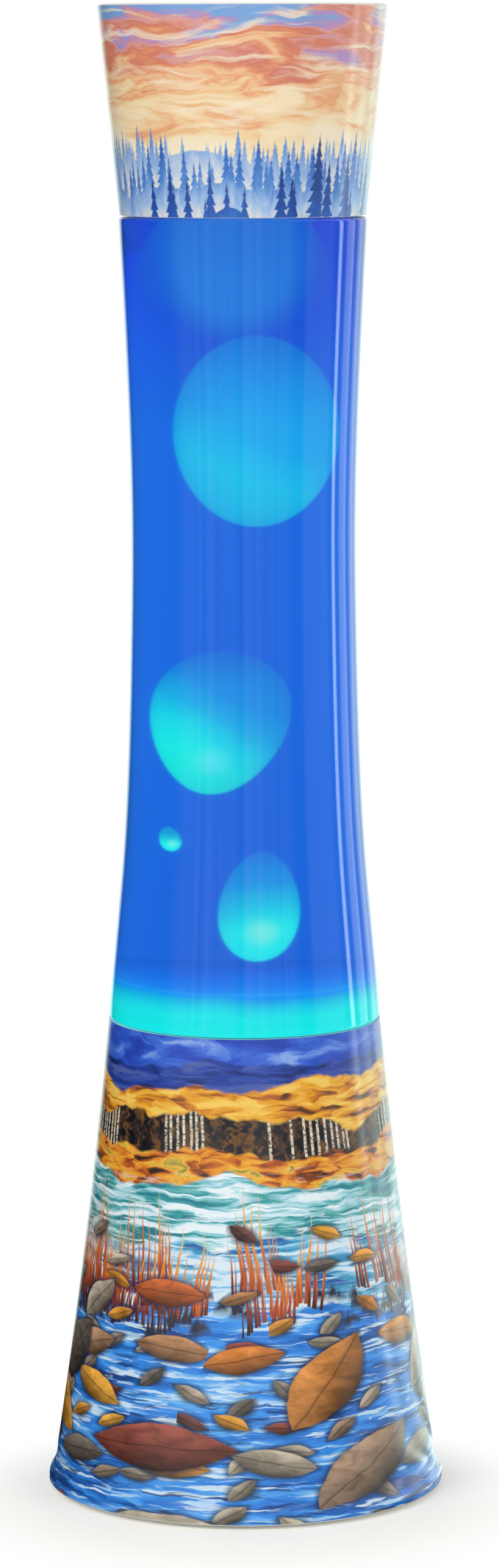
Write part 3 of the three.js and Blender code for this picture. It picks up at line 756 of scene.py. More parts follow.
@dataclass(frozen=True)
class Easel:
    """The strokes that pictures are painted with, on a film laid flat, in mm round and up it."""

    add: Add
    softness: float = 0.5

    def waver(self, flat: Socket, reach: float, width: float) -> Socket:
        """Lets the paint's edges wander.

        Args:
            flat: The place on the film.
            reach: How far an edge wanders, in mm.
            width: The width of its waves, in mm.

        Returns:
            The moved place.
        """
        waves = self.add("TexNoise", flat, 1 / width, 2.0, out="Color")
        ways = ((reach, reach, 0.0), (-reach / 2, -reach / 2, 0.0))
        return self.add("VectorMath.ADD", flat, self.add("VectorMath.MULTIPLY_ADD", waves, *ways))

    def dabs(self, flat: Socket, size: Spot, hold: float = 0.5) -> Socket:
        """Breaks the picture into brush dabs, whose paint is more or less blended.

        Args:
            flat: The place on the film.
            size: A dab's length and height in mm.
            hold: How far a dab holds one colour, from 0 for blended paint to 1 for a flat dab.

        Returns:
            The place that gives the paint its colour.
        """
        cells = self.add("VectorMath.MULTIPLY", flat, (1 / size[0], 1 / size[1], 1.0))
        kind = {"voronoi_dimensions": "2D", "feature": "SMOOTH_F1", "Smoothness": self.softness}
        dab = self.add("TexVoronoi", cells, 1.0, out="Position", **kind)
        middle = self.add("VectorMath.MULTIPLY", dab, (*size, 1.0))
        return self.add("Mix.VECTOR", hold, flat, middle)

    def depth_below(
        self, spot: Socket, level: float, swing: float, roll: float, seed: float
    ) -> Socket:
        """Tells how far below a line that rolls round the film a place lies.

        Args:
            spot: The place on the film.
            level: The line's mean height in mm.
            swing: How far it rises and falls, in mm.
            roll: The width of its rises, in mm.
            seed: Which of many lines it is.

        Returns:
            The depth in mm, negative above the line.
        """
        x, y, _ = self.add("SeparateXYZ", spot).node.outputs
        along = self.add("CombineXYZ", x, seed * roll)
        line = self.add("TexNoise", along, 1 / roll, 3.0, 0.45, noise_dimensions="2D")
        height = self.add("Math.MULTIPLY_ADD", line, 2 * swing, level - swing)
        return self.add("Math.SUBTRACT", height, y)

    def graded(self, depth: Socket, reach: float, patches: Socket, wander: float) -> Socket:
        """Grades paint by its depth below a line, with patches that stray from the grade.

        Args:
            depth: The depth in mm.
            reach: The depth at which the grade ends, in mm.
            patches: A pattern with values round a half.
            wander: How far the patches stray, as a share of the grade.

        Returns:
            A value that runs from 0 at the line to 1 at the reach.
        """
        strayed = self.add("Math.MULTIPLY_ADD", patches, wander, -wander / 2)
        return self.add("Math.ADD", self.add("Math.MULTIPLY", depth, 1 / reach), strayed)

    def drift(self, spot: Socket, size: Spot, seed: float, lean: float = 0.0) -> Socket:
        """Draws soft patches, such as a cloud or a ripple.

        Args:
            spot: The place on the film.
            size: The patches' length and height in mm.
            seed: Which of many patterns it is.
            lean: How far the patches lean, in degrees.

        Returns:
            A value from 0 to 1, mostly near a half.
        """
        shift, turned = (seed * 3.7, seed * 1.9, 0.0), (0.0, 0.0, math.radians(lean))
        scaled = self.add("Mapping", spot, shift, turned, (1 / size[0], 1 / size[1], 1.0))
        kind = {"noise_dimensions": "2D", "Distortion": 0.5}
        return self.add("TexNoise", scaled, 1.0, 4.0, 0.55, **kind)

    def grow(self, flat: Socket, growth: Growth) -> Socket:
        """Grows pointed plants along a rolling line, each one whole or not there.

        Args:
            flat: The place on the film.
            growth: The stand of plants.

        Returns:
            How far inside a plant a place lies, in mm, negative outside.
        """
        add, cell, slope = self.add, growth.cell, growth.slope
        x, y, _ = add("SeparateXYZ", flat).node.outputs
        leaned = add("Math.MULTIPLY_ADD", y, growth.lean, x)
        row = add("Math.MULTIPLY_ADD", leaned, 1 / cell, growth.seed * 5.0)
        kind = {"voronoi_dimensions": "1D", "Randomness": 0.7}
        plant = add("TexVoronoi", W=row, Scale=1.0, **kind).node.outputs
        chance = add("SeparateColor", plant["Color"])
        middle = add("Math.MULTIPLY", plant["W"], cell)
        ground = self.depth_below(add("CombineXYZ", middle, y), *growth[:4])
        tall = add("Math.MULTIPLY_ADD", chance, 0.6 * growth.height, 0.4 * growth.height)
        down = add("Math.ADD", ground, tall)
        tier = add("Math.FRACT", add("Math.MULTIPLY", down, 1 / growth.tier))
        jagged = add("Math.MULTIPLY_ADD", tier, slope * growth.jag, slope * (1 - growth.jag))
        half = add("Math.MINIMUM", add("Math.MULTIPLY", down, jagged), growth.thick)
        inside = add("Math.SUBTRACT", half, add("Math.MULTIPLY", plant["Distance"], cell))
        whole = add("Math.MINIMUM", inside, add("Math.SUBTRACT", growth.sunk, ground))
        clump = self.drift(add("CombineXYZ", middle, growth.seed), (24.0, 9.0), 2.0)
        there = add("Math.LESS_THAN", clump, growth.share)
        return add("Math.ADD", whole, add("Math.MULTIPLY_ADD", there, 100.0, -100.0))


@dataclass(frozen=True)
class Print(Finish):
    """Glossy printed film: a picture painted in dabs, under a clear coat.

    The film is wrapped round the cone from its seam at the back, so the picture is drawn flat, and
    its paint is laid in layers from the back to the front.
    """

    mean_radius: float = 40.0

    def paint(self, easel: Easel, flat: Socket) -> Socket:
        """Paints the picture; each print has its own."""
        raise NotImplementedError

    def dress(self, add: Add, shader: bpy.types.Node, place: Socket) -> None:
        """Lays the picture under a clear, slightly rippled coat.

        Args:
            add: What adds a node to the material.
            shader: Its Principled shader.
            place: The Object coordinates.
        """
        across = add("Math.MULTIPLY", bearing(add, place), self.mean_radius)
        up = add("Math.DIVIDE", add("SeparateXYZ", place, out="Z"), MM)
        ripple = add("TexNoise", place, 0.06 / MM, 1.0)
        bump = add("Bump", Height=ripple, Strength=0.3, Distance=self.relief * MM)
        picture = self.paint(Easel(add), add("CombineXYZ", across, up))
        feed(shader, Base_Color=picture, Normal=bump)
        feed(shader, Coat_Weight=0.8, Coat_Roughness=0.2, Coat_Normal=bump)


@dataclass(frozen=True)
class CapPrint(Print):
    """The cap's picture: streaked evening cloud over rows of pines that stand in mist."""

    mean_radius: float = 35.6
    sky: Stops = (
        (0.0, "#F3E4C8"), (0.2, "#F2DDB6"), (0.34, "#EFC896"), (0.43, "#E8A070"), (0.5, "#EFC294"),
        (0.6, "#E29068"), (0.7, "#D47A66"), (0.78, "#DE9C92"), (0.87, "#B58CC0"), (0.98, "#78A4DC"),
    )
    wisps: Stops = ((0.5, "#F2DCB8"), (0.7, "#F6E6CC"))
    far_mist: Stops = ((0.0, "#5F92D6"), (0.35, "#8DB0E0"), (0.7, "#C9D4E2"), (1.0, "#EFE4CF"))
    mist: Stops = ((0.0, "#2A62BC"), (0.35, "#4C86D2"), (0.7, "#9DBDE6"), (1.0, "#E9E2D6"))
    near_mist: Stops = ((0.0, "#123C8C"), (0.4, "#1A54B0"), (0.75, "#3276CC"), (1.0, "#7FA8DE"))
    rows: tuple[Growth, ...] = (
        Growth(358.5, 7.0, 30.0, 5.2, 2.6, 9.0, 0.2, far_mist, jag=0.45, tier=1.5, reach=15.0),
        Growth(352.0, 7.0, 24.0, 9.9, 4.0, 14.0, 0.19, mist, jag=0.5, tier=2.1, reach=18.0),
        Growth(
            344.5, 7.0, 20.0, 2.4, 6.0, 18.0, 0.18, near_mist, 0.55, 2.9, share=0.56, reach=22.0
        ),
    )

    def paint(self, easel: Easel, flat: Socket) -> Socket:
        """Paints the evening sky, then each row of pines from the farthest on.

        Args:
            easel: The strokes.
            flat: The place on the film.

        Returns:
            The picture's colour.
        """
        add = easel.add
        dab = easel.dabs(easel.waver(easel.waver(flat, 9.0, 26.0), 2.0, 6.0), (8.0, 1.1), 0.22)
        risen = add("Math.MULTIPLY", easel.depth_below(dab, 360.0, 4.0, 40.0, 1.3), -1.0)
        cloud = easel.drift(dab, (30.0, 7.5), 5.0, -12.0)
        picture = add("ValToRGB", easel.graded(risen, 42.0, cloud, 1.35), stops=self.sky)
        wisp = easel.drift(dab, (26.0, 3.0), 8.0, -14.0)
        thin = add("MapRange", wisp, 0.52, 0.68, 0.0, 0.75)
        picture = add("Mix.RGBA", thin, picture, add("ValToRGB", wisp, stops=self.wisps))
        rough = easel.waver(flat, 0.5, 1.2)
        stroke = easel.dabs(easel.waver(flat, 2.0, 5.0), (1.0, 3.0), 0.4)
        for row in self.rows:
            pines = easel.grow(rough, row)
            near = easel.grow(
                rough, row._replace(seed=row.seed + 0.37, height=row.height * 0.7)
            )
            ground = easel.depth_below(flat, *row[:4])
            room = add("Math.MAXIMUM", add("Math.MAXIMUM", pines, near), ground)
            top = add("Math.ADD", ground, row.height * 0.6)
            patches = easel.drift(stroke, (3.0, 8.0), row.seed, 10.0)
            mist = add("ValToRGB", easel.graded(top, row.reach, patches, 0.7), stops=row.paints)
            picture = add("Mix.RGBA", add("MapRange", room, -0.15, 0.15), picture, mist)
        return picture


@dataclass(frozen=True)
class BasePrint(Print):
    """The base's picture: blue hills and a golden birch wood over a lake with reeds and leaves."""

    mean_radius: float = 44.0
    hills: Stops = ((0.32, "#1B3FB0"), (0.48, "#2450C8"), (0.6, "#3F70DC"), (0.74, "#86A8EC"))
    dusk: Stops = ((0.34, "#16286C"), (0.5, "#2244A8"), (0.64, "#4E62A8"))
    gold: Stops = ((0.32, "#5A3A20"), (0.4, "#B8641E"), (0.5, "#EAA21C"), (0.64, "#F6CC5C"))
    shade: Stops = ((0.36, "#17151A"), (0.5, "#32292A"), (0.6, "#7A5228"), (0.68, "#2A2426"))
    bank: Stops = (
        (0.32, "#3A2A20"), (0.42, "#B8581C"), (0.5, "#E68E1C"), (0.62, "#F2BC40"),
        (0.72, "#7A8A3A"),
    )
    shallows: Stops = ((0.36, "#1F7F94"), (0.45, "#3FA6A6"), (0.53, "#9ED6E4"), (0.6, "#EAF5FB"))
    water: Stops = ((0.34, "#1C5CAC"), (0.44, "#3A9CC4"), (0.52, "#7CC4EC"), (0.6, "#DCEBF8"))
    deep: Stops = (
        (0.3, "#123F86"), (0.42, "#1F70CC"), (0.54, "#2F8FEC"), (0.66, "#62B0F4"),
        (0.76, "#CBE6FA"),
    )
    far_bands: tuple[Band, ...] = (
        Band(121.5, 5.0, 34.0, 4.4, (20.0, 2.6), dusk),
        Band(116.0, 8.0, 34.0, 7.7, (15.0, 2.6), gold),
        Band(106.0, 10.0, 24.0, 9.2, (3.0, 6.0), shade),
    )
    near_bands: tuple[Band, ...] = (
        Band(98.0, 8.0, 26.0, 3.1, (10.0, 3.0), bank),
        Band(91.0, 6.0, 24.0, 2.6, (26.0, 2.4), shallows),
        Band(74.0, 9.0, 30.0, 6.1, (26.0, 2.8), water),
        Band(57.0, 9.0, 28.0, 8.3, (40.0, 3.4), deep),
    )
    ripples: tuple[tuple[Spot, float, float, float, float, str], ...] = (
        ((22.0, 1.3), 5.9, 0.58, 0.64, 88.0, "#DCF0FB"),
        ((18.0, 1.6), 2.2, 0.6, 0.68, 46.0, "#123A74"),
        ((14.0, 1.0), 9.4, 0.62, 0.67, 60.0, "#B4DCFA"),
    )
    bark: Stops = ((0.36, "#3A3436"), (0.43, "#B4A896"), (0.6, "#EAE0CE"))
    trunks: Growth = Growth(
        98.0, 8.0, 26.0, 3.1, 2.2, 40.0, 1.0, bark, thick=0.42, sunk=4.0, lean=0.05, share=0.56
    )
    tall_reed: Stops = ((0.0, "#F4C04C"), (0.4, "#E07A1E"), (0.75, "#A8421C"), (1.0, "#3A1E16"))
    reed: Stops = ((0.0, "#F8D468"), (0.4, "#EE9A28"), (0.75, "#C4541E"), (1.0, "#4A2418"))
    short_reed: Stops = ((0.0, "#E8902A"), (0.5, "#B84A20"), (1.0, "#38201A"))
    reeds: tuple[Growth, ...] = (
        Growth(
            58.0, 9.0, 15.0, 1.7, 1.1, 30.0, 0.03, tall_reed,
            thick=0.52, sunk=0.0, lean=0.1, share=0.5, reach=30.0,
        ),
        Growth(
            55.0, 9.0, 15.0, 1.9, 1.3, 24.0, 0.04, reed,
            thick=0.62, sunk=0.0, lean=-0.14, share=0.5, reach=24.0,
        ),
        Growth(
            52.0, 9.0, 15.0, 2.1, 1.0, 19.0, 0.034, short_reed,
            thick=0.5, sunk=0.0, lean=0.04, share=0.5, reach=19.0,
        ),
    )
    tufts: Stops = ((0.36, "#152A52"), (0.5, "#24324E"), (0.64, "#4A3430"))
    shadow: Stops = ((0.0, "#12305E"), (1.0, "#101C34"))
    leaves: Stops = (
        (0.0, "#6E645E"), (0.22, "#CDBFA8"), (0.42, "#9C8C7C"), (0.6, "#D8862C"), (0.75, "#F0B040"),
        (0.88, "#C8502A"), (1.0, "#4E4648"),
    )
    strewn: tuple[tuple[Spot, float, float, float], ...] = (
        ((12.0, 7.0), 3.3, 0.42, 80.0),
        ((24.0, 15.0), 7.1, 0.6, 62.0),
        ((44.0, 26.0), 4.6, 0.62, 50.0),
    )

    def lay_bands(
        self, easel: Easel, picture: Socket, spot: Socket, bands: tuple[Band, ...]
    ) -> tuple[Socket, Socket]:
        """Lays bands of the landscape, each over what lies behind it.

        Args:
            easel: The strokes.
            picture: What is painted already.
            spot: The place on the film.
            bands: The bands, from the farthest on.

        Returns:
            The picture with the bands, and the depth below the last one's top line in mm.
        """
        add = easel.add
        for band in bands:
            patches = easel.drift(easel.dabs(spot, (6.0, 1.2), 0.4), band.size, band.seed)
            wash = add("ValToRGB", patches, stops=band.paints)
            depth = easel.depth_below(spot, *band[:4])
            picture = add("Mix.RGBA", add("MapRange", depth, -0.4, 0.4), picture, wash)
        return picture, depth

    def strew(
        self,
        easel: Easel,
        picture: Socket,
        flat: Socket,
        size: Spot,
        seed: float,
        share: float,
        level: float,
    ) -> Socket:
        """Strews pointed leaves over the film, one to a cell, each turned its own way.

        Args:
            easel: The strokes.
            picture: What is painted already.
            flat: The place on the film.
            size: A cell's length and height in mm.
            seed: Which of many strewings it is.
            share: The share of cells that hold a leaf.
            level: The height in mm that no leaf's middle lies above.

        Returns:
            The picture with the leaves and the dark that they throw round themselves.
        """
        add, (long, tall) = easel.add, size
        scale, shift = (1 / long, 1 / tall, 1.0), (seed, seed * 2.3, 0.0)
        cells = add("VectorMath.MULTIPLY_ADD", easel.waver(flat, 1.5, 7.0), scale, shift)
        kind = {"voronoi_dimensions": "2D", "Randomness": 0.75}
        cell = add("TexVoronoi", cells, 1.0, **kind).node.outputs
        red, green, blue = add("SeparateColor", cell["Color"]).node.outputs
        offset = add("VectorMath.SUBTRACT", cells, cell["Position"])
        real = add("VectorMath.MULTIPLY", offset, (long, tall * 1.5, 0.0))
        angle = add("Math.MULTIPLY_ADD", green, 2.2, -1.1)
        turned = add("VectorRotate", real, Angle=angle, rotation_type="Z_AXIS")
        x, y, _ = add("SeparateXYZ", turned).node.outputs
        half_length, half_width = long * 0.46, tall * 0.36
        along = add("Math.MULTIPLY", x, 1 / half_length)
        bow = add("Math.MULTIPLY", along, along)
        aside = add("Math.ABSOLUTE", y)
        edge = add("Math.MULTIPLY_ADD", bow, -half_width, half_width)
        room = add("Math.SUBTRACT", edge, aside)
        row = add("SeparateXYZ", cell["Position"], out="Y")
        low = add("Math.LESS_THAN", row, level / tall + seed * 2.3)
        there = add("Math.MULTIPLY", low, add("Math.LESS_THAN", red, share))
        soft = {"interpolation_type": "SMOOTHSTEP"}
        near = add("MapRange", room, -2.2, 0.2, 0.0, 0.75, **soft)
        dark = add("Math.MULTIPLY", near, there)
        picture = add("Mix.RGBA", dark, picture, add("ValToRGB", dark, stops=self.shadow))
        light = add("MapRange", y, -half_width, half_width, 0.08, 1.3)
        vein = add("MapRange", aside, 0.15, 0.5, 0.55, 1.0)
        rough = easel.drift(easel.dabs(flat, (2.0, 0.8), 0.3), (7.0, 3.0), seed)
        worn = add("MapRange", rough, 0.35, 0.65, 0.7, 1.2)
        lit = add("Math.MULTIPLY", add("Math.MULTIPLY", light, vein), worn)
        colour = add("VectorMath.SCALE", add("ValToRGB", blue, stops=self.leaves), lit)
        mask = add("Math.MULTIPLY", add("MapRange", room, -0.1, 0.35), there)
        return add("Mix.RGBA", mask, picture, colour)

    def paint(self, easel: Easel, flat: Socket) -> Socket:
        """Paints the hills, the wood, the lake, the reeds and the leaves.

        Args:
            easel: The strokes.
            flat: The place on the film.

        Returns:
            The picture's colour.
        """
        add = easel.add
        loose = easel.waver(flat, 3.0, 8.0)
        patches = easel.drift(easel.dabs(loose, (6.0, 1.2), 0.4), (20.0, 5.0), 1.0, 24.0)
        picture = add("ValToRGB", patches, stops=self.hills)
        picture, depth = self.lay_bands(easel, picture, loose, self.far_bands)
        bark = add("ValToRGB", easel.drift(flat, (1.5, 0.7), 4.0), stops=self.bark)
        trunk = easel.grow(easel.waver(flat, 0.8, 7.0), self.trunks)
        wood = add("MapRange", add("Math.MINIMUM", trunk, depth), -0.12, 0.12)
        picture = add("Mix.RGBA", wood, picture, bark)
        picture, _ = self.lay_bands(easel, picture, loose, self.near_bands)
        line = easel.dabs(easel.waver(flat, 1.5, 6.0), (5.0, 0.6))
        for size, seed, low, high, level, colour in self.ripples:
            streak = easel.drift(line, size, seed)
            thin = add("MapRange", streak, low, high, 0.0, 0.85)
            under = add("MapRange", easel.depth_below(flat, level, 5.0, 30.0, seed), -6.0, 6.0)
            picture = add("Mix.RGBA", add("Math.MULTIPLY", thin, under), picture, colour)
        bent = easel.waver(flat, 3.0, 16.0)
        for stand in self.reeds:
            room = add("MapRange", easel.grow(bent, stand), -0.12, 0.12)
            top = add("Math.ADD", easel.depth_below(bent, *stand[:4]), stand.height)
            patches = easel.drift(bent, (0.8, 14.0), stand.seed)
            grade = easel.graded(top, stand.reach, patches, 0.9)
            blades = add("ValToRGB", grade, stops=stand.paints)
            picture = add("Mix.RGBA", room, picture, blades)
            tuft = stand._replace(cell=3.4, height=2.2, slope=1.0, thick=2.0, sunk=1.6)
            foot = add("MapRange", easel.grow(bent, tuft), -1.1, 1.1)
            picture = add("Mix.RGBA", foot, picture, add("ValToRGB", patches, stops=self.tufts))
        for leaf in self.strewn:
            picture = self.strew(easel, picture, flat, *leaf)
        return picture


# Sub-assemblies


@dataclass
class SubAssembly:
    """A part of the lamp whose pieces ride on one body. All its sizes are in mm."""

    body: ClassVar[Body] = Body.BASE

    def settle(self, piece: Piece, slot: str, node: str, *finishes: Finish) -> None:
        """Dresses a finished piece, sets it on its body and lets it stand for its solid.

        Args:
            piece: The piece, at the origin with its place in its mesh.
            slot: The record's material slot, whose shared finish it wears if it has no other.
            node: The CAD node that it replaces.
            finishes: Its own finishes, in the order of its faces' material numbers.
        """
        numbers = [polygon.material_index for polygon in piece.data.polygons]
        piece.data.materials.clear()
        for material in [finish.material() for finish in finishes] or [shared(slot)]:
            piece.data.materials.append(material)
        piece.data.polygons.foreach_set("material_index", numbers)
        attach(piece, self.body.value)
        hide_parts(node)
        log.info("%s: %d faces, on %s", piece.name, len(piece.data.polygons), self.body.value)


@dataclass
class PrintedBase(SubAssembly):
    """The cone base: its moulded shell with the film round it, its seat ring and its gasket."""

    underside: float = 1.0
    rim_z: float = 128.6
    rim_radius: float = 36.6
    rebate_z: float = 127.6
    rebate_radius: float = 35.35
    flare_radius: float = 51.9
    bead_top_z: float = 6.6
    sag: float = 0.85
    wall: float = 2.2
    film: float = 0.25
    film_gap: float = 0.1
    bead: Line = ((53.6, 1.5), (53.6, 2.68), (53.19, 4.08), (52.41, 5.48), (51.9, 6.6))
    under_bead: Line = ((53.12, 1.0), (53.5, 1.25))
    ledge_radius: float = 31.3
    ledge_z: Spot = (109.8, 112.2)
    ledge_slope: float = 2.4
    seat: Line = ((31.2, 112.3, 0.3), (33.7, 112.3, 0.3), (33.7, 127.6, 0.3), (31.2, 127.6, 0.8))
    gasket: Line = (
        (31.2, 127.7, 0.2), (35.25, 127.7, 0.3), (35.25, 128.7, 0.3), (31.2, 128.7, 0.2),
    )
    screw_circle: float = 45.6
    post: Spot = (3.6, 5.1, 13.1)
    post_hole: Spot = (1.5, 4.0, 11.1)
    gland_z: float = 16.5
    gland_boss: float = 8.5
    gland_boss_y: Spot = (43.85, 51.7)
    gland_bore: float = 5.9

    def outline(self, depth: float, steps: int = 28) -> Line:
        """The outside from the bead's widest ring up to the rim, at a depth under the film.

        Args:
            depth: The depth in mm.
            steps: Steps up the cone.

        Returns:
            The outline, upwards.
        """
        cone = []
        for share in (i / steps for i in range(1, steps + 1)):
            radius = self.flare_radius + (self.rim_radius - self.flare_radius) * share
            radius -= 4 * self.sag * share * (1 - share)
            cone.append((radius, self.bead_top_z + (self.rim_z - self.bead_top_z) * share))
        bead = curve_through((*self.bead, cone[0]), 4)[:-1]
        return [(min(r, self.bead[0][0]) - depth, z) for r, z in bead + cone]

    def bore(self, radius: float) -> Piece:
        """The tool that opens the back for the gland."""
        return rod(radius, (0.0, 40.0, self.gland_z), (0.0, 60.0, self.gland_z))

    def build(self) -> None:
        """Turns the shell, adds its boss and posts, bores them, and adds the film and the rings."""
        skin = self.film + self.film_gap
        outside = self.outline(skin)
        inside = [(r - self.wall, z) for r, z in outside if z > self.bead_top_z]
        low, high = self.ledge_z
        profile = [(inside[0][0], self.underside), *((r - skin, z) for r, z in self.under_bead)]
        profile += [*outside, (self.rebate_radius, self.rim_z), (self.rebate_radius, self.rebate_z)]
        profile += [(inside[-1][0], self.rebate_z)]
        profile += [p for p in reversed(inside) if high < p[1] < self.rebate_z]
        profile += [(self.ledge_radius, high), (self.ledge_radius, low)]
        profile += [p for p in reversed(inside) if p[1] < low - self.ledge_slope]
        shell = turn("base_moulding", profile)
        boss = rod(self.gland_boss, *((0.0, y, self.gland_z) for y in self.gland_boss_y))
        shape(shell, Tool.JOIN, boss)
        places = around(4, self.screw_circle, 45.0)
        for how, (radius, foot, top) in ((Tool.JOIN, self.post), (Tool.CUT, self.post_hole)):
            shape(shell, how, *(rod(radius, (x, y, foot), (x, y, top)) for x, y, _ in places))
        shape(shell, Tool.CUT, self.bore(self.gland_bore))
        self.settle(shell, "abs_white", "base_shell")
        outside = self.outline(0.0)
        inside = [(r - self.film, z) for r, z in reversed(outside)]
        film = turn("base_picture_film", outside + inside)
        shape(film, Tool.CUT, self.bore(self.gland_boss + 0.3))
        picture = BasePrint("printed_film_landscape", "#4A78B4", 0.3, relief=0.05)
        self.settle(film, "print_base", "base_print_film", picture)
        self.settle(turn("bottle_seat_ring", self.seat), "holder_plastic", "bottle_seat")
        self.settle(turn("seat_gasket_ring", self.gasket), "rubber_black", "seat_gasket")


@dataclass
class Underside(SubAssembly):
    """What closes the base from below: the vented cover, its screws and its rubber feet."""

    radius: float = 49.05
    low: float = 2.8
    high: float = 5.0
    hole: float = 1.5
    screw_circle: float = 45.6
    bracket_circle: float = 21.0
    vent: Spot = (17.0, 3.0)
    vent_circle: float = 28.0
    pad_circle: float = 40.05
    pad: Line = ((0.0, 0.5), (3.4, 0.5, 0.2), (4.1, 0.0, 0.2), (5.3, 0.0, 0.4), (6.0, 0.9, 0.3))

    def build(self) -> None:
        """Turns and cuts the cover, drives its four screws and presses the dished feet in place."""
        low, high, edge = self.low, self.high, self.radius
        profile = [(0.0, low), (edge, low, 0.6), (edge, high, 0.3), (0.0, high)]
        plate = turn("bottom_plate", profile, closed=False)
        tools = []
        for x, y, angle in around(8, self.vent_circle, 22.5):
            place = at(x, y) @ Matrix.Rotation(math.radians(angle), 4, "Z")
            tools.append(slot_tool(*self.vent, low - 1, high + 1, place))
        fixings = around(4, self.screw_circle, 45.0)
        for x, y, _ in fixings + around(2, self.bracket_circle):
            tools.append(rod(self.hole, (x, y, low - 1), (x, y, high + 1)))
        shape(plate, Tool.CUT, *tools)
        self.settle(plate, "abs_white", "bottom_cover")
        for i, (x, y, _) in enumerate(fixings, 1):
            screw = pan_screw(f"cover_fixing_{i}", 8.0, at(x, y, low - 0.1))
            self.settle(screw, "steel", f"cover_screw_{i}")
        profile = [*self.pad, (self.pad[-1][0], low - 0.1, 0.2), (0.0, low - 0.1)]
        for i, (x, y, _) in enumerate(around(4, self.pad_circle), 1):
            foot = turn(f"rubber_foot_{i}", profile, closed=False, segments=64)
            self.settle(moved(foot, at(x, y)), "rubber_black", f"foot_pad_{i}")


@dataclass
class Wiring(SubAssembly):
    """The rubber gland in the back wall, the terminal block behind it and the two inner leads."""

    gland_z: float = 16.5
    gland: Line = (
        (3.6, 41.95, 0.3), (5.6, 41.95, 0.2), (6.6, 43.55, 0.3), (5.6, 43.55), (5.6, 52.1),
        (7.4, 52.1, 0.3), (7.4, 53.19, 0.5), (5.6, 53.19, 0.2), (5.3, 52.8, 0.1), (4.9, 52.8, 0.1),
        (4.6, 53.19, 0.2), (3.6, 53.19, 0.3),
    )
    block_low: Spot = (-8.0, 28.95, 5.1)
    block_high: Spot = (8.0, 37.95, 15.1)
    wire_way: float = 1.6
    well: float = 2.3
    well_depth: float = 3.0
    groove_half: float = 0.8
    groove_depth: float = 2.5
    lead_start: Spot = (4.0, 28.65, 10.1)
    lead_end: Spot = (5.0, 18.3, 15.4)
    lead_radius: float = 1.1
    bend: float = 5.0

    def build(self) -> None:
        """Turns the gland, cuts the block's wire ways, wells and groove, and draws the leads."""
        gland = turn("cord_grommet", self.gland, segments=96)
        moved(gland, at(z=self.gland_z) @ Matrix.Rotation(-math.pi / 2, 4, "X"))
        self.settle(gland, "rubber_black", "cord_gland")
        body = block("terminal_block_body", self.block_low, self.block_high, 0.6)
        near, far, top = self.block_low[1], *self.block_high[1:]
        middle, (start_x, _, z) = (near + far) / 2, self.lead_start
        sunk = top - self.well_depth
        for x in (-start_x, start_x):
            shape(body, Tool.CUT, rod(self.wire_way, (x, near - 1, z), (x, far + 1, z)))
            shape(body, Tool.CUT, rod(self.well, (x, middle, sunk), (x, middle, top + 1)))
        half, sunk = self.groove_half, top - self.groove_depth
        groove = block("groove", (-half, near - 1, sunk), (half, far + 1, top + 1), 0.2)
        shape(body, Tool.CUT, groove)
        self.settle(body, "holder_plastic", "terminal_block")
        self.draw_lead("live_lead", -1, "sleeve_brown")
        self.draw_lead("neutral_lead", 1, "sleeve_blue")

    def draw_lead(self, node: str, side: int, slot: str) -> None:
        """Draws one lead from the block up to its terminal.

        Args:
            node: The CAD node that it replaces.
            side: -1 for the left lead and 1 for the right one.
            slot: Its material slot.
        """
        start, end = (Vector((side * x, y, z)) for x, y, z in (self.lead_start, self.lead_end))
        pull = Vector((0.0, self.bend, 0.0))
        knots = (start, start - pull, end + pull, end)
        points = []
        for t in (i / 32 for i in range(33)):
            shares = ((1 - t) ** 3, 3 * (1 - t) ** 2 * t, 3 * (1 - t) * t**2, t**3)
            points.append(tuple(sum((k * s for k, s in zip(knots, shares)), Vector())))
        self.settle(wire(f"{node}_sleeved", points, self.lead_radius), slot, node)


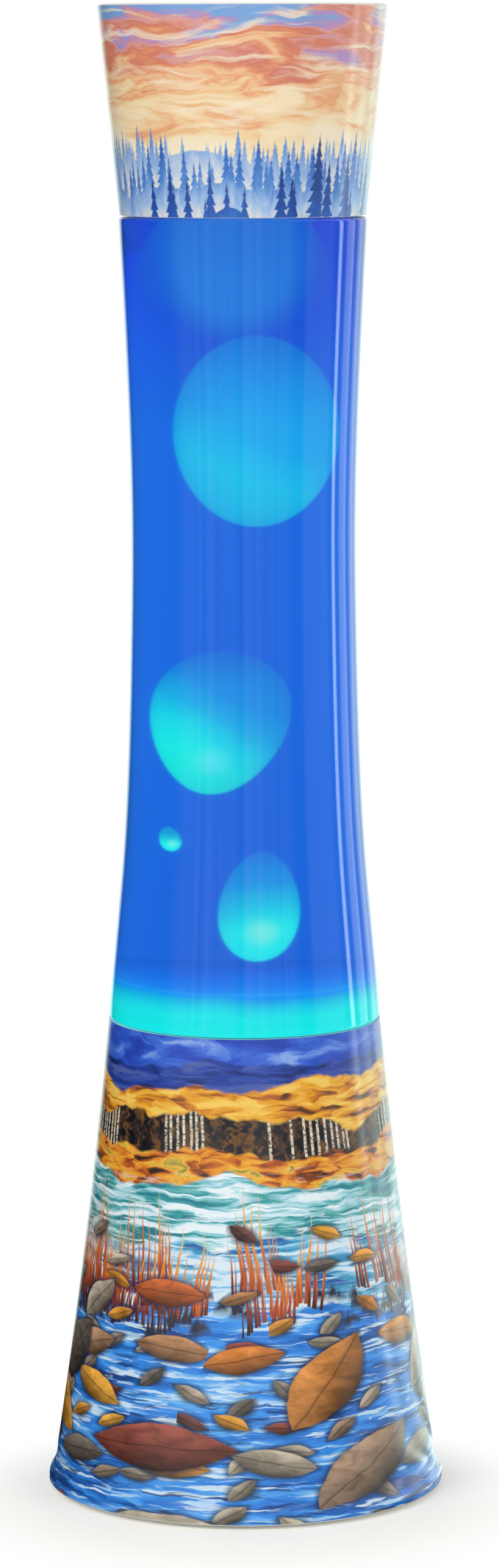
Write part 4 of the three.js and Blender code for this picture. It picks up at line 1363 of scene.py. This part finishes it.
@dataclass
class Lampholder(SubAssembly):
    """The lampholder on its steel bracket, with its thread shell, contact, terminals and screws."""

    low: float = 10.2
    radius: float = 13.0
    height: float = 28.0
    bore: float = 8.0
    floor: float = 4.0
    bracket_z: float = 5.1
    bracket: Line = (
        (-25.0, 0.0), (-13.8, 0.0), (-13.8, 3.8), (13.8, 3.8), (13.8, 0.0), (25.0, 0.0),
        (25.0, 1.2), (15.0, 1.2), (15.0, 5.0), (-15.0, 5.0), (-15.0, 1.2), (-25.0, 1.2),
    )
    screw_x: float = 21.0
    contact_z: float = 14.3
    contact: Line = (
        (-4.5, 0.0), (4.5, 0.0), (4.5, 0.5), (-3.5, 0.5), (2.2, 3.0), (2.2, 3.5), (-2.2, 3.5),
        (-4.5, 1.0),
    )
    shell_radius: Spot = (7.3, 7.65)
    shell_z: Spot = (20.7, 37.7)
    thread_pitch: float = 2.82
    terminal_x: float = 5.0
    terminal_y: float = 16.0
    terminal_rise: float = 2.7
    terminal_half: Spot = (2.2, 2.0)
    terminal_height: float = 5.0
    terminal_well: float = 1.7
    terminal_screw: float = 1.45

    def build(self) -> None:
        """Builds and settles the lampholder and what carries it."""
        strap = strip("lampholder_strap", self.bracket, self.bracket_z, 6.0, 0.25)
        low, high = self.bracket_z - 1, self.low + 1
        places = (-self.screw_x, 0.0, self.screw_x)
        shape(strap, Tool.CUT, *(rod(1.5, (x, 0.0, low), (x, 0.0, high)) for x in places))
        self.settle(strap, "steel", "lampholder_bracket")
        down = Matrix.Rotation(math.pi, 4, "X")
        for i, x in ((1, self.screw_x), (2, -self.screw_x)):
            place = at(x, 0.0, self.bracket_z + 1.3) @ down
            self.settle(pan_screw(f"bracket_fixing_{i}", 3.2, place), "steel", f"bracket_screw_{i}")
        screw = pan_screw("lampholder_fixing", 3.6, at(z=self.low - 1.4))
        self.settle(screw, "steel", "lampholder_screw")
        self.build_body()
        self.build_contacts()

    def build_body(self) -> None:
        """Turns the holder's body with its two grip grooves and adds its terminal shelf."""
        low, edge = self.low, self.radius
        profile = [(0.0, low), (edge, low, 0.8)]
        for groove in (low + 9, low + 19):
            profile += [(edge, groove - 0.7, 0.1), (edge - 0.5, groove - 0.4, 0.1)]
            profile += [(edge - 0.5, groove + 0.4, 0.1), (edge, groove + 0.7, 0.1)]
        top, inner = low + self.height, low + self.floor
        profile += [(edge, top, 0.8), (self.bore, top, 0.4), (self.bore, inner), (0.0, inner)]
        body = turn("lampholder_body", profile, closed=False, segments=96)
        shelf = block("shelf", (-9.0, self.bore + 1, low), (9.0, 18.0, low + 2.6), 0.5)
        shape(body, Tool.JOIN, shelf)
        shape(body, Tool.CUT, rod(1.5, (0.0, 0.0, low - 1), (0.0, 0.0, low + 2.7)))
        self.settle(body, "holder_plastic", "lampholder")

    def build_contacts(self) -> None:
        """Rolls the thread shell, folds the sprung contact and builds the two screw terminals."""
        rows, (inner, outer) = levels(*self.shell_z, 0.3), self.shell_radius
        profile = [(outer, z) for z in rows] + [(inner, z) for z in reversed(rows)]
        shell = turn("brass_thread_shell", profile, segments=64)
        wind_thread(shell, *self.shell_z, self.thread_pitch, 0.2)
        self.settle(shell, "brass", "lampholder_thread_shell")
        leaf = strip("sprung_contact", self.contact, self.contact_z, 2.0, 0.08)
        self.settle(leaf, "brass", "lampholder_contact")
        low, y, (wide, deep) = self.low + self.terminal_rise, self.terminal_y, self.terminal_half
        high = low + self.terminal_height
        for side, node in ((-1, "live_terminal"), (1, "neutral_terminal")):
            x = side * self.terminal_x
            ends = (x - wide, y - deep, low), (x + wide, y + deep, high)
            body = block(f"{node}_screwed", *ends, 0.35)
            shape(body, Tool.CUT, rod(self.terminal_well, (x, y, high - 1.2), (x, y, high + 1)))
            shape(body, Tool.JOIN, rod(self.terminal_screw, (x, y, high - 2), (x, y, high - 0.4)))
            ends = (x - 1.8, y - 0.3, high - 0.9), (x + 1.8, y + 0.3, high - 0.2)
            shape(body, Tool.CUT, block("slot", *ends, 0.05))
            self.settle(body, "brass", node)


@dataclass
class ReflectorBulb(SubAssembly):
    """The 39 mm reflector bulb: silvered cone, frosted dome, mount and screw cap."""

    body: ClassVar[Body] = Body.BULB
    foot: float = 18.1
    cap_low: float = 22.0
    cap_top: float = 38.5
    glass_low: float = 34.5
    neck: float = 6.2
    widest: float = 19.5
    top: float = 84.1
    glass: float = 0.7
    cone: Line = ((6.2, 38.5), (8.86, 42.15), (10.19, 48.53), (16.04, 63.12), (19.5, 74.98))
    dome_drop: float = 5.46
    dome_power: float = 5.24
    thread_pitch: float = 2.82
    filament_rise: Spot = (17.3, 23.6)
    filament_reach: float = 2.9
    filament_radius: float = 0.4
    filament_turns: int = 22
    filament_sag: float = 0.9

    def outside(self, depth: float = 0.0) -> Line:
        """The glass's outline from its neck to its top, upwards.

        Args:
            depth: How far inside the glass it lies, in mm.

        Returns:
            The outline.
        """
        widest, top, power = self.widest - depth, self.top - depth, self.dome_power
        line = curve_through(self.cone, 8)
        cone = [(min(r, self.widest) - depth, z - depth / 2) for r, z in line]
        shares = [1 - i / 20 for i in range(21)]
        return cone + [(widest * s, top - self.dome_drop * s**power) for s in shares]

    def build(self) -> None:
        """Turns the envelope, silvers it below its dome, and builds what it holds."""
        low, neck = self.glass_low, self.neck
        profile = [*reversed(self.outside(self.glass)), (neck - self.glass, low), (neck, low)]
        envelope = turn("reflector_envelope", profile + self.outside(), closed=False, segments=96)
        for polygon in envelope.data.polygons:
            polygon.material_index = int(polygon.center.z > self.cone[-1][1] * MM)
        # Evaporated aluminium behind glass, a bright mirror
        silver = Finish("aluminised_bulb_glass", "#D8DADC", 0.12, 1.0, grain=1.5, mottle=0.05)
        self.settle(envelope, "bulb_glass", "bulb_envelope", silver, FINISHES["bulb_glass"])
        self.build_mount(low)
        self.build_cap()

    def build_mount(self, foot: float) -> None:
        """Builds the glass stem and the coiled filament on its two supports.

        Args:
            foot: The height of the stem's foot in mm.
        """
        profile = [(0.0, foot), (5.0, foot, 0.2), (4.0, foot + 1.6, 1.0), (2.2, foot + 5.0, 1.5)]
        profile += [(2.2, foot + 17.0, 0.6), (0.0, foot + 17.0)]
        stem = turn("pressed_stem", profile, closed=False, segments=48)
        # Drawn lead glass, clear with a soft edge
        clear = ClearGlass("drawn_lead_glass", "#FFFFFF", 0.05)
        self.settle(stem, "bulb_glass", "bulb_stem", clear)
        low, high = (foot + up for up in self.filament_rise)
        reach, wound, steps = self.filament_reach, self.filament_radius, self.filament_turns * 10
        shares, tall = [i / 6 for i in range(7)], high - low
        rise = [(-reach + 1.8 * (1 - s) ** 2, 0.0, low + tall * s) for s in shares]
        fall = [(-x, y, z) for x, y, z in reversed(rise)]
        coil = []
        for i in range(steps + 1):
            aside, turned = 2 * i / steps - 1, math.tau * i / 10
            z = high - self.filament_sag * aside**2 + wound * math.cos(turned)
            coil.append((reach * aside, wound * math.sin(turned), z))
        wires = [wire("support", rise, 0.2), wire("coil", coil, 0.09), wire("end", fall, 0.2)]
        self.settle(gathered("coiled_filament", wires), "tungsten", "bulb_filament")

    def build_cap(self) -> None:
        """Rolls the screw cap and sets the glass insulator and the solder tip under it."""
        low, rows = self.cap_low, levels(self.cap_low + 2.0, self.cap_top, 0.3)
        profile = [(3.0, low), (4.6, low, 0.2), (6.8, low + 1.7), *((6.8, z) for z in rows)]
        profile += [*((6.4, z) for z in reversed(rows)), (6.4, low + 1.9), (4.4, low + 0.4)]
        cap = turn("bulb_screw_shell", [*profile, (3.0, low + 0.4)], segments=64)
        wind_thread(cap, low + 1.9, self.cap_top - 0.8, self.thread_pitch, 0.2)
        self.settle(cap, "steel", "bulb_screw_cap")
        foot, low, high = self.foot, self.foot + 1.4, low - 0.1
        profile = [(0.0, low), (2.2, low, 0.2), (4.6, high, 0.4), (0.0, high)]
        insulator = turn("vitrite_insulator", profile, closed=False, segments=48)
        self.settle(insulator, "insulator_glass", "bulb_insulator")
        profile = [(0.0, foot), (2.2, foot, 1.0), (2.2, low - 0.1), (0.0, low - 0.1)]
        tip = turn("solder_tip", profile, closed=False, segments=48)
        self.settle(tip, "brass", "bulb_tip_contact")


@dataclass(frozen=True)
class Blob:
    """One rounded mass of wax: its centre, half sizes and swell, in mm, its tilt and its light."""

    name: str
    node: str
    centre: Spot
    half_width: float
    half_height: float
    # light: the settings of the blob's painted glow, its emission from the bulb's light
    light: dict[str, Any]
    swell: float = 0.0
    tilt: float = 0.0

    def rounded(self) -> Piece:
        """Rounds the blob from a ball."""
        built = bmesh.new()
        bmesh.ops.create_uvsphere(built, u_segments=64, v_segments=40, radius=1.0)
        for vert in built.verts:
            vert.co.xy *= 1 + self.swell * vert.co.z
        sizes = Vector((self.half_width, self.half_width, self.half_height)) * MM
        lean = Matrix.Rotation(math.radians(self.tilt), 4, "Y")
        place = at(*self.centre) @ lean @ Matrix.Diagonal((*sizes, 1.0))
        bmesh.ops.transform(built, matrix=place, verts=built.verts[:])
        return object_from(self.name, built)

    def finish(self) -> LitWax:
        """The wax, with the bulb's light on the blob's own underside painted as a glow."""
        x, _, z = self.centre
        span = {"low": z - self.half_height, "high": z + self.half_height, "middle": x}
        return LitWax(f"lit_{self.node}", "#1E9C88", 0.6, **span, **self.light)


@dataclass
class WaxBottle(SubAssembly):
    """The pressed glass bottle with its liquid, its wax and its crown closure."""

    body: ClassVar[Body] = Body.BOTTLE
    step_z: float = 128.8
    foot_z: float = 106.8
    cavity_z: float = 110.0
    shoulder_z: float = 344.1
    neck_top_z: float = 376.1
    wall: float = 2.4
    foot_radius: float = 30.6
    foot_low_radius: float = 29.6
    rim_radius: float = 36.6
    shoulder_radius: float = 33.0
    neck_radius: float = 13.2
    mouth_radius: float = 10.0
    shoulder_ledge: float = 3.0
    shoulder_rise: float = 20.0
    side: Line = (
        (36.6, 130.0), (34.785, 149.77), (32.64, 173.494), (31.122, 201.172), (30.297, 232.804),
        (30.0, 261.8), (30.45, 286.19), (31.47, 312.206), (33.0, 343.1),
    )
    liquid_top_z: float = 350.1
    pool_z: float = 139.6
    pool_dome: float = 0.8
    # Painted glow of the bulb's light in the melted pool: cyan, bluer towards its top
    pool_painted_glow: Stops = (
        (0.0, "#14E4DA"), (0.5, "#14E0DA"), (0.66, "#10C6D6"), (0.79, "#089CD8"), (0.85, "#0684E6"),
        (0.9, "#0A80E4"),
    )
    coil_turns: int = 110
    coil_circle: float = 20.0
    coil_radius: float = 1.25
    coil_gauge: float = 0.33
    crown_waves: int = 20
    liner: Line = (
        (0.0, 0.3), (9.6, 0.3, 0.1), (10.2, 0.0, 0.1), (12.6, 0.0, 0.2), (12.6, 0.9, 0.1),
    )
    # Each blob's light is its painted glow: colour stops up the blob, a lean, a strength and, for
    # some, a painted hot spot with its colour
    blobs: tuple[Blob, ...] = (
        Blob(
            "risen_wax_ball",
            "wax_blob_upper",
            (2.62, 0.0, 287.7),
            16.7,
            25.6,
            {
                "stops": (
                    (0.0, "#00E0A2"), (0.25, "#00DCA2"), (0.5, "#00B0A2"), (0.8, "#009DA0"),
                    (1.0, "#008E9C"),
                ),
                "lean": 0.22,
                "strength": 2.1,
            },
        ),
        Blob(
            "rising_wax_ball",
            "wax_blob_middle",
            (-5.16, 0.0, 209.1),
            14.08,
            19.38,
            {
                "stops": (
                    (0.0, "#00FF82"), (0.2, "#00F685"), (0.38, "#00D888"), (0.55, "#00A686"),
                    (0.75, "#007E84"), (1.0, "#007082"),
                ),
                "lean": 0.3,
                "strength": 3.0,
                "clear": (0.75, 1.1),
                "spot": (-7.3, -12.0, 199.0, 7.0),
                "painted_hot_spot_colour": "#B0F08E",
            },
            swell=0.16,
            tilt=8.0,
        ),
        Blob(
            "wax_drop",
            "wax_droplet",
            (-15.26, 0.0, 177.5),
            2.21,
            3.4,
            {
                "stops": (
                    (0.0, "#28FF80"), (0.3, "#1CFF80"), (0.52, "#08C874"), (0.75, "#009A70"),
                    (1.0, "#007470"),
                ),
                "strength": 4.0,
                "clear": (0.8, 1.2),
                "spot": (-15.0, -2.3, 176.4, 2.0),
            },
            swell=-0.15,
            tilt=-12.0,
        ),
        Blob(
            "low_wax_egg",
            "wax_blob_lower",
            (3.09, 0.0, 159.2),
            8.2,
            15.0,
            {
                "stops": (
                    (0.0, "#1FDA65"), (0.3, "#16D066"), (0.52, "#06A463"), (0.75, "#007262"),
                    (1.0, "#005A61"),
                ),
                "lean": -0.05,
                "strength": 6.0,
                "clear": (0.75, 1.15),
                "spot": (3.8, -7.0, 153.0, 6.0),
                "painted_hot_spot_colour": "#FFCF60",
            },
            swell=-0.15,
            tilt=3.0,
        ),
        Blob(
            "risen_wax_mass",
            "wax_blob_deep",
            (-1.7, 3.3, 330.6),
            18.9,
            19.2,
            {
                "stops": ((0.0, "#59E2E2"), (1.0, "#59E2E2")),
                "solid": 0.62,
                "clear": (1.5, 2.0),
                "melt": (-1.7, 335.0, 19.4, 25.5),
            },
        ),
    )

    def shoulder(self, top: float, depth: float) -> Line:
        """A quarter ellipse from the shoulder's edge up to the neck.

        Args:
            top: The radius at its top in mm.
            depth: How far inside the glass its foot lies, in mm.

        Returns:
            The curve, upwards.
        """
        edge, low = self.shoulder_radius - self.shoulder_ledge - depth, self.shoulder_z - depth / 2
        turned = [i / 16 * math.pi / 2 for i in range(17)]
        spread, rise = edge - top, self.shoulder_rise
        return [(top + spread * math.cos(a), low + rise * math.sin(a)) for a in turned]

    def inside(self, depth: float = 0.0) -> Line:
        """The inside of the bottle from its floor's edge up to its mouth.

        Args:
            depth: How far the line lies inside the glass wall, in mm; negative sinks into it.

        Returns:
            The line, upwards.
        """
        low, high = self.step_z + 5, self.shoulder_z - 5
        wall = [(r - self.wall, z) for r, z in curve_through(self.side, 8) if low < z < high]
        edge, floor = self.foot_low_radius - self.wall, self.cavity_z
        foot = [(edge - 3, floor), (edge - 0.9, floor + 0.9), (edge, floor + 3)]
        foot += [(self.foot_radius - self.wall, self.step_z + 0.5)]
        heel = curve_through([foot[-1], (31.2, self.step_z + 2.2), wall[0]], 5)[1:-1]
        line = foot + heel + wall + self.shoulder(self.mouth_radius, self.wall)
        return [(r - depth, z) for r, z in line]

    def build(self) -> None:
        """Builds and settles the bottle's pieces."""
        self.build_glass()
        self.build_filling()
        for blob in self.blobs:
            self.settle(blob.rounded(), "wax", blob.node, blob.finish())
        self.build_coil()
        self.build_closure()

    def build_glass(self) -> None:
        """Turns the bottle as one closed wall of glass, wetted where the filling touches it."""
        step, neck_top = self.step_z, self.neck_top_z
        profile = [(0.0, self.foot_z), (self.foot_low_radius, self.foot_z, 2.5)]
        profile += [(self.foot_radius, step), (self.rim_radius, step, 1.0)]
        edge = (self.shoulder_radius, self.shoulder_z, 0.9)
        profile += [*curve_through(self.side, 8)[2:-1], edge]
        profile += self.shoulder(self.neck_radius, 0.0)
        profile += [(self.neck_radius, neck_top, 0.8), (self.mouth_radius, neck_top, 0.8)]
        profile += [*reversed(self.inside()), (0.0, self.cavity_z)]
        bottle = turn("hourglass_bottle", profile, closed=False)
        for polygon in bottle.data.polygons:
            outwards = Vector((*polygon.center[:2], 0.0)).normalized().dot(polygon.normal)
            wet = self.cavity_z * MM < polygon.center.z < self.liquid_top_z * MM
            polygon.material_index = int(outwards < -0.1 and wet)
        glass = ClearGlass("pressed_soda_lime_glass", "#FFFFFF", 0.0)
        wetted = ClearGlass("wetted_soda_lime_glass", "#FFFFFF", 0.0, shine="#000000")
        self.settle(bottle, "bottle_glass", "glass_bottle", glass, wetted)

    def build_filling(self) -> None:
        """Turns the liquid and the melted wax, a hair into the glass so that no air shows."""
        inside = self.inside(-0.08)
        low, top = self.pool_z - 0.1, self.liquid_top_z
        wall = [p for p in inside if low < p[1] < top]
        first = next(r for r, z in inside if z > low)
        profile = [(0.0, low), (first, low), *wall, (wall[-1][0] - 0.6, top), (0.0, top)]
        liquid = turn("blue_motion_liquid", profile, closed=False)
        dye = DyedLiquid("dyed_water", "#557CF3", 0.15, ior=1.33)
        self.settle(liquid, "liquid", "motion_liquid", dye)
        low, top = self.cavity_z + 0.3, self.pool_z
        wall = [p for p in inside if low < p[1] < top]
        profile = [(0.0, low), (wall[0][0] - 1, low), *wall]
        profile += [(wall[-1][0], top), (0.0, top + self.pool_dome)]
        pool = turn("melted_wax_pool", profile, closed=False)
        # The pool's painted glow, as emission by height
        span = {"low": 126.0, "high": 142.0, "stops": self.pool_painted_glow}
        self.settle(pool, "wax", "wax_pool", LitWax("lit_wax_pool", "#0F5A80", 0.6, **span))

    def build_coil(self) -> None:
        """Winds the steel spring that lies in a ring on the bottle's floor and warms the wax."""
        wound, points = self.coil_radius, []
        middle = self.cavity_z + 0.1 + wound + self.coil_gauge
        for i in range(self.coil_turns * 12):
            along = math.tau * i / (self.coil_turns * 12)
            radius = self.coil_circle + wound * math.cos(self.coil_turns * along)
            height = middle + wound * math.sin(self.coil_turns * along)
            points.append((radius * math.cos(along), radius * math.sin(along), height))
        spring = wire("wax_heating_spring", points, self.coil_gauge, ring=True)
        self.settle(spring, "steel", "heating_coil")

    def build_closure(self) -> None:
        """Turns the crown and its liner, and flutes the crown's skirt."""
        top = self.neck_top_z + 1.6
        slope = [(13.6 + 2.4 * i / 16, top - 0.8 - 5.6 * i / 16) for i in range(17)]
        profile = [(0.0, top - 0.5), (12.9, top - 0.5), *((r - 0.5, z) for r, z in slope)]
        profile += [*reversed(slope), (13.2, top, 0.3), (0.0, top)]
        crown = turn("crown_closure", profile, closed=False, segments=240)
        for vert in crown.data.vertices:
            x, y, z = vert.co / MM
            sunk = max(0.0, (top - 1.2 - z) / 5.2)
            wave = math.cos(self.crown_waves * math.atan2(y, x))
            vert.co.xy *= 1 + 0.028 * sunk**1.4 * wave
        self.settle(crown, "steel", "crown_cap")
        low = self.neck_top_z + 0.1
        profile = [(r, low + z, *rounding) for r, z, *rounding in self.liner]
        profile += [(0.0, profile[-1][1])]
        liner = turn("closure_liner", profile, closed=False, segments=96)
        self.settle(liner, "foam", "crown_liner")


@dataclass
class PrintedCap(SubAssembly):
    """The cone cap: its moulded shell with the film round it, its lid and its centring ring."""

    body: ClassVar[Body] = Body.CAP
    rim_z: float = 344.4
    rim_radius: float = 32.75
    top_z: float = 400.0
    top_radius: float = 38.4
    wall: float = 1.8
    film: float = 0.25
    film_gap: float = 0.1
    film_z: Spot = (344.55, 399.5)
    lid_z: Spot = (396.8, 398.8)
    ledge: float = 1.6
    ring: Line = (
        (29.6, 349.9, 0.35), (31.06, 349.9, 0.35), (31.42, 353.5, 0.35), (28.35, 353.5, 0.35),
    )

    def side(self, z: float, depth: float = 0.0) -> Spot:
        """The point of the outside at a height, at a depth under the film, in mm."""
        share = (z - self.rim_z) / (self.top_z - self.rim_z)
        return self.rim_radius + share * (self.top_radius - self.rim_radius) - depth, z

    def build(self) -> None:
        """Builds and settles the cap's pieces."""
        skin, rim, top, ledge = self.film + self.film_gap, self.rim_z, self.top_z, self.ledge
        inner = skin + self.wall
        low, high = self.lid_z
        profile = [(*self.side(rim, inner), 0.3), (*self.side(rim, skin), 0.3)]
        profile += [(*self.side(top, skin), 0.4), (*self.side(top, inner), 0.4)]
        profile += [self.side(low - 0.1, inner), self.side(low - 0.1, inner + ledge)]
        profile += [self.side(low - 1.7, inner + ledge), self.side(low - 3.3, inner)]
        self.settle(turn("cap_moulding", profile), "abs_white", "cap_shell")
        bottom, span = self.film_z[0], self.film_z[1] - self.film_z[0]
        rows = [bottom + span * i / 12 for i in range(13)]
        profile = [self.side(z) for z in rows] + [self.side(z, self.film) for z in reversed(rows)]
        picture = CapPrint("printed_film_sky", "#DAB08C", 0.3, relief=0.05)
        self.settle(turn("cap_picture_film", profile), "print_cap", "cap_print_film", picture)
        profile = [(0.0, low), self.side(low, inner + 0.1)]
        profile += [(*self.side(high, inner + 0.1), 0.5), (0.0, high)]
        self.settle(turn("cap_lid", profile, closed=False), "abs_white", "cap_top_disc")
        self.settle(turn("shoulder_centring_ring", self.ring), "foam", "cap_centring_ring")


# The studio


@dataclass
class Studio:
    """The camera at the photograph's angle, the pale floor, the soft light and the white backdrop.

    The surround holds the brightness that gloss sees at each angle from the front, in degrees. The
    places and reaches of the lights and of the shadow are in metres, as their nodes take them.
    """

    eye: Spot = (1.47, -1465.0, 384.7)
    pitch: float = 7.495
    roll: float = -0.114
    lens: float = 125.99
    floor_side: float = 40000.0
    floor_lift: float = 0.14
    shadow_middle: Spot = (0.0, -0.019, 0.0)
    shadow_reach: Spot = (0.051, 0.089)
    ambient: float = 0.6
    striped_to: float = 60.0
    tube_tint: str = "#EAFFF8"
    target: Spot = (0.0, 0.0, 0.2)
    lights: tuple[tuple[str, Spot, float, float], ...] = (
        ("soft_key", (-1.2, -1.5, 1.5), 1.2, 18.0),
        ("soft_fill", (1.4, -1.3, 0.9), 1.0, 8.0),
    )
    surround: Line = (
        (-180.0, 1.2), (-160.0, 1.2), (-153.0, 0.0), (-72.0, 0.0), (-60.0, 0.35), (-48.0, 0.55),
        (36.0, 0.55), (46.0, 0.25), (54.0, 0.03), (61.0, 0.03), (64.0, 0.5), (92.0, 0.5),
        (98.0, 0.1), (101.5, 0.2), (103.0, 5.0), (106.0, 5.0), (108.0, 0.2), (113.0, 0.2),
        (116.0, 1.5), (124.0, 1.6), (127.5, 2.2), (129.0, 0.4), (134.0, 0.3), (140.0, 1.2),
        (146.0, 1.6), (152.0, 0.9), (160.0, 1.2), (180.0, 1.2),
    )

    def place_camera(self) -> None:
        """Sets the camera up."""
        view = bpy.data.cameras.new("photograph_view")
        view.lens = self.lens
        view.sensor_width = 36.0
        view.clip_start = 0.05
        view.clip_end = 100.0
        camera = linked("photograph_view", view)
        tipped = Matrix.Rotation(math.radians(90 - self.pitch), 4, "X")
        rolled = tipped @ Matrix.Rotation(math.radians(self.roll), 4, "Z")
        camera.matrix_world = at(*self.eye) @ rolled
        bpy.context.scene.camera = camera

    def card_light(self, add: Add, way: Socket) -> Socket:
        """Gives what gloss sees round the lamp: soft cards ahead, thin tubes aside, white behind.

        Args:
            add: What adds a node to the world or the floor.
            way: The direction from the lamp, or the place on the floor.

        Returns:
            The brightness that way.
        """
        angle = bearing(add, way)
        peak, stops = max(power for _, power in self.surround), []
        for degrees, power in self.surround:
            striped = float(abs(degrees) < self.striped_to)
            stops.append((degrees / 360 + 0.5, (*(power / peak,) * 3, striped)))
        cards = add("ValToRGB", add("MapRange", angle, -math.pi, math.pi), stops=stops)
        stripes = add("TexNoise", angle, 6.0, 5.0, noise_dimensions="1D")
        stripe = add("MapRange", stripes, 0.35, 0.65, 0.2 * peak, 1.2 * peak)
        return add(
            "Math.MULTIPLY", cards, add("Mix.FLOAT", cards.node.outputs["Alpha"], peak, stripe)
        )

    def lay_floor(self) -> None:
        """Lays a pale floor, white where the camera, glass and gloss see it in full light."""
        built = bmesh.new()
        bmesh.ops.create_grid(built, x_segments=1, y_segments=1, size=self.floor_side / 2 * MM)
        floor = object_from("pale_floor", built)
        # Matt paint, a warm white that keeps the lamp's shadow
        material = bpy.data.materials.new("pale_painted_floor")
        add = cleared(material)
        paint = add("BsdfDiffuse", Color="#FFFDF6")
        lifted = add("AddShader", paint, add("Emission", Strength=self.floor_lift))
        white = add("Emission", Strength=1.0)
        place = add("TexCoord", out="Object")
        away = add("VectorMath.DISTANCE", place, self.shadow_middle)
        far = add("MapRange", away, *self.shadow_reach, interpolation_type="SMOOTHSTEP")
        cards = add("Emission", Color=self.tube_tint, Strength=self.card_light(add, place))
        path = add("LightPath").node.outputs
        seen = add("MixShader", far, lifted, white)
        seen = add("MixShader", path["Is Camera Ray"], paint, seen)
        seen = add("MixShader", path["Is Glossy Ray"], seen, cards)
        seen = add("MixShader", path["Is Transmission Ray"], seen, white)
        add("OutputMaterial", seen)
        floor.data.materials.append(material)

    def light_world(self) -> None:
        """Makes the surroundings: white to the eye and through glass, with soft cards in gloss."""
        world = bpy.data.worlds.new("white_studio")
        bpy.context.scene.world = world
        add = cleared(world)
        path = add("LightPath").node.outputs
        gloss = self.card_light(add, add("TexCoord", out="Generated"))
        lit = add("Mix.FLOAT", path["Is Glossy Ray"], self.ambient, gloss)
        seen = add("Math.MAXIMUM", path["Is Camera Ray"], path["Is Transmission Ray"])
        strength = add("Mix.FLOAT", seen, lit, 1.0)
        add("OutputWorld", add("Background", Color="#FFFFFF", Strength=strength))

    def hang_lights(self) -> None:
        """Hangs the soft key and fill."""
        for name, place, side, power in self.lights:
            lamp = bpy.data.lights.new(name, "AREA")
            lamp.shape = "RECTANGLE"
            lamp.size = lamp.size_y = side
            lamp.energy = power
            made = linked(name, lamp)
            aim = Vector(self.target) - Vector(place)
            turned = aim.to_track_quat("-Z", "Y").to_matrix().to_4x4()
            made.matrix_world = Matrix.Translation(place) @ turned
            made.visible_camera = False
            made.visible_glossy = False

    def build(self) -> None:
        """Builds the studio round the camera."""
        self.lay_floor()
        self.light_world()
        self.hang_lights()
        bpy.context.scene.view_settings.view_transform = "Standard"


def main() -> None:
    """Builds the lamp and its studio, in order."""
    logging.basicConfig(level=logging.INFO, format="%(name)s: %(message)s")
    studio = Studio()
    studio.place_camera()
    for part in (PrintedBase, Underside, Wiring, Lampholder, ReflectorBulb, WaxBottle, PrintedCap):
        part().build()
    studio.build()


if __name__ == "__main__":
    main()
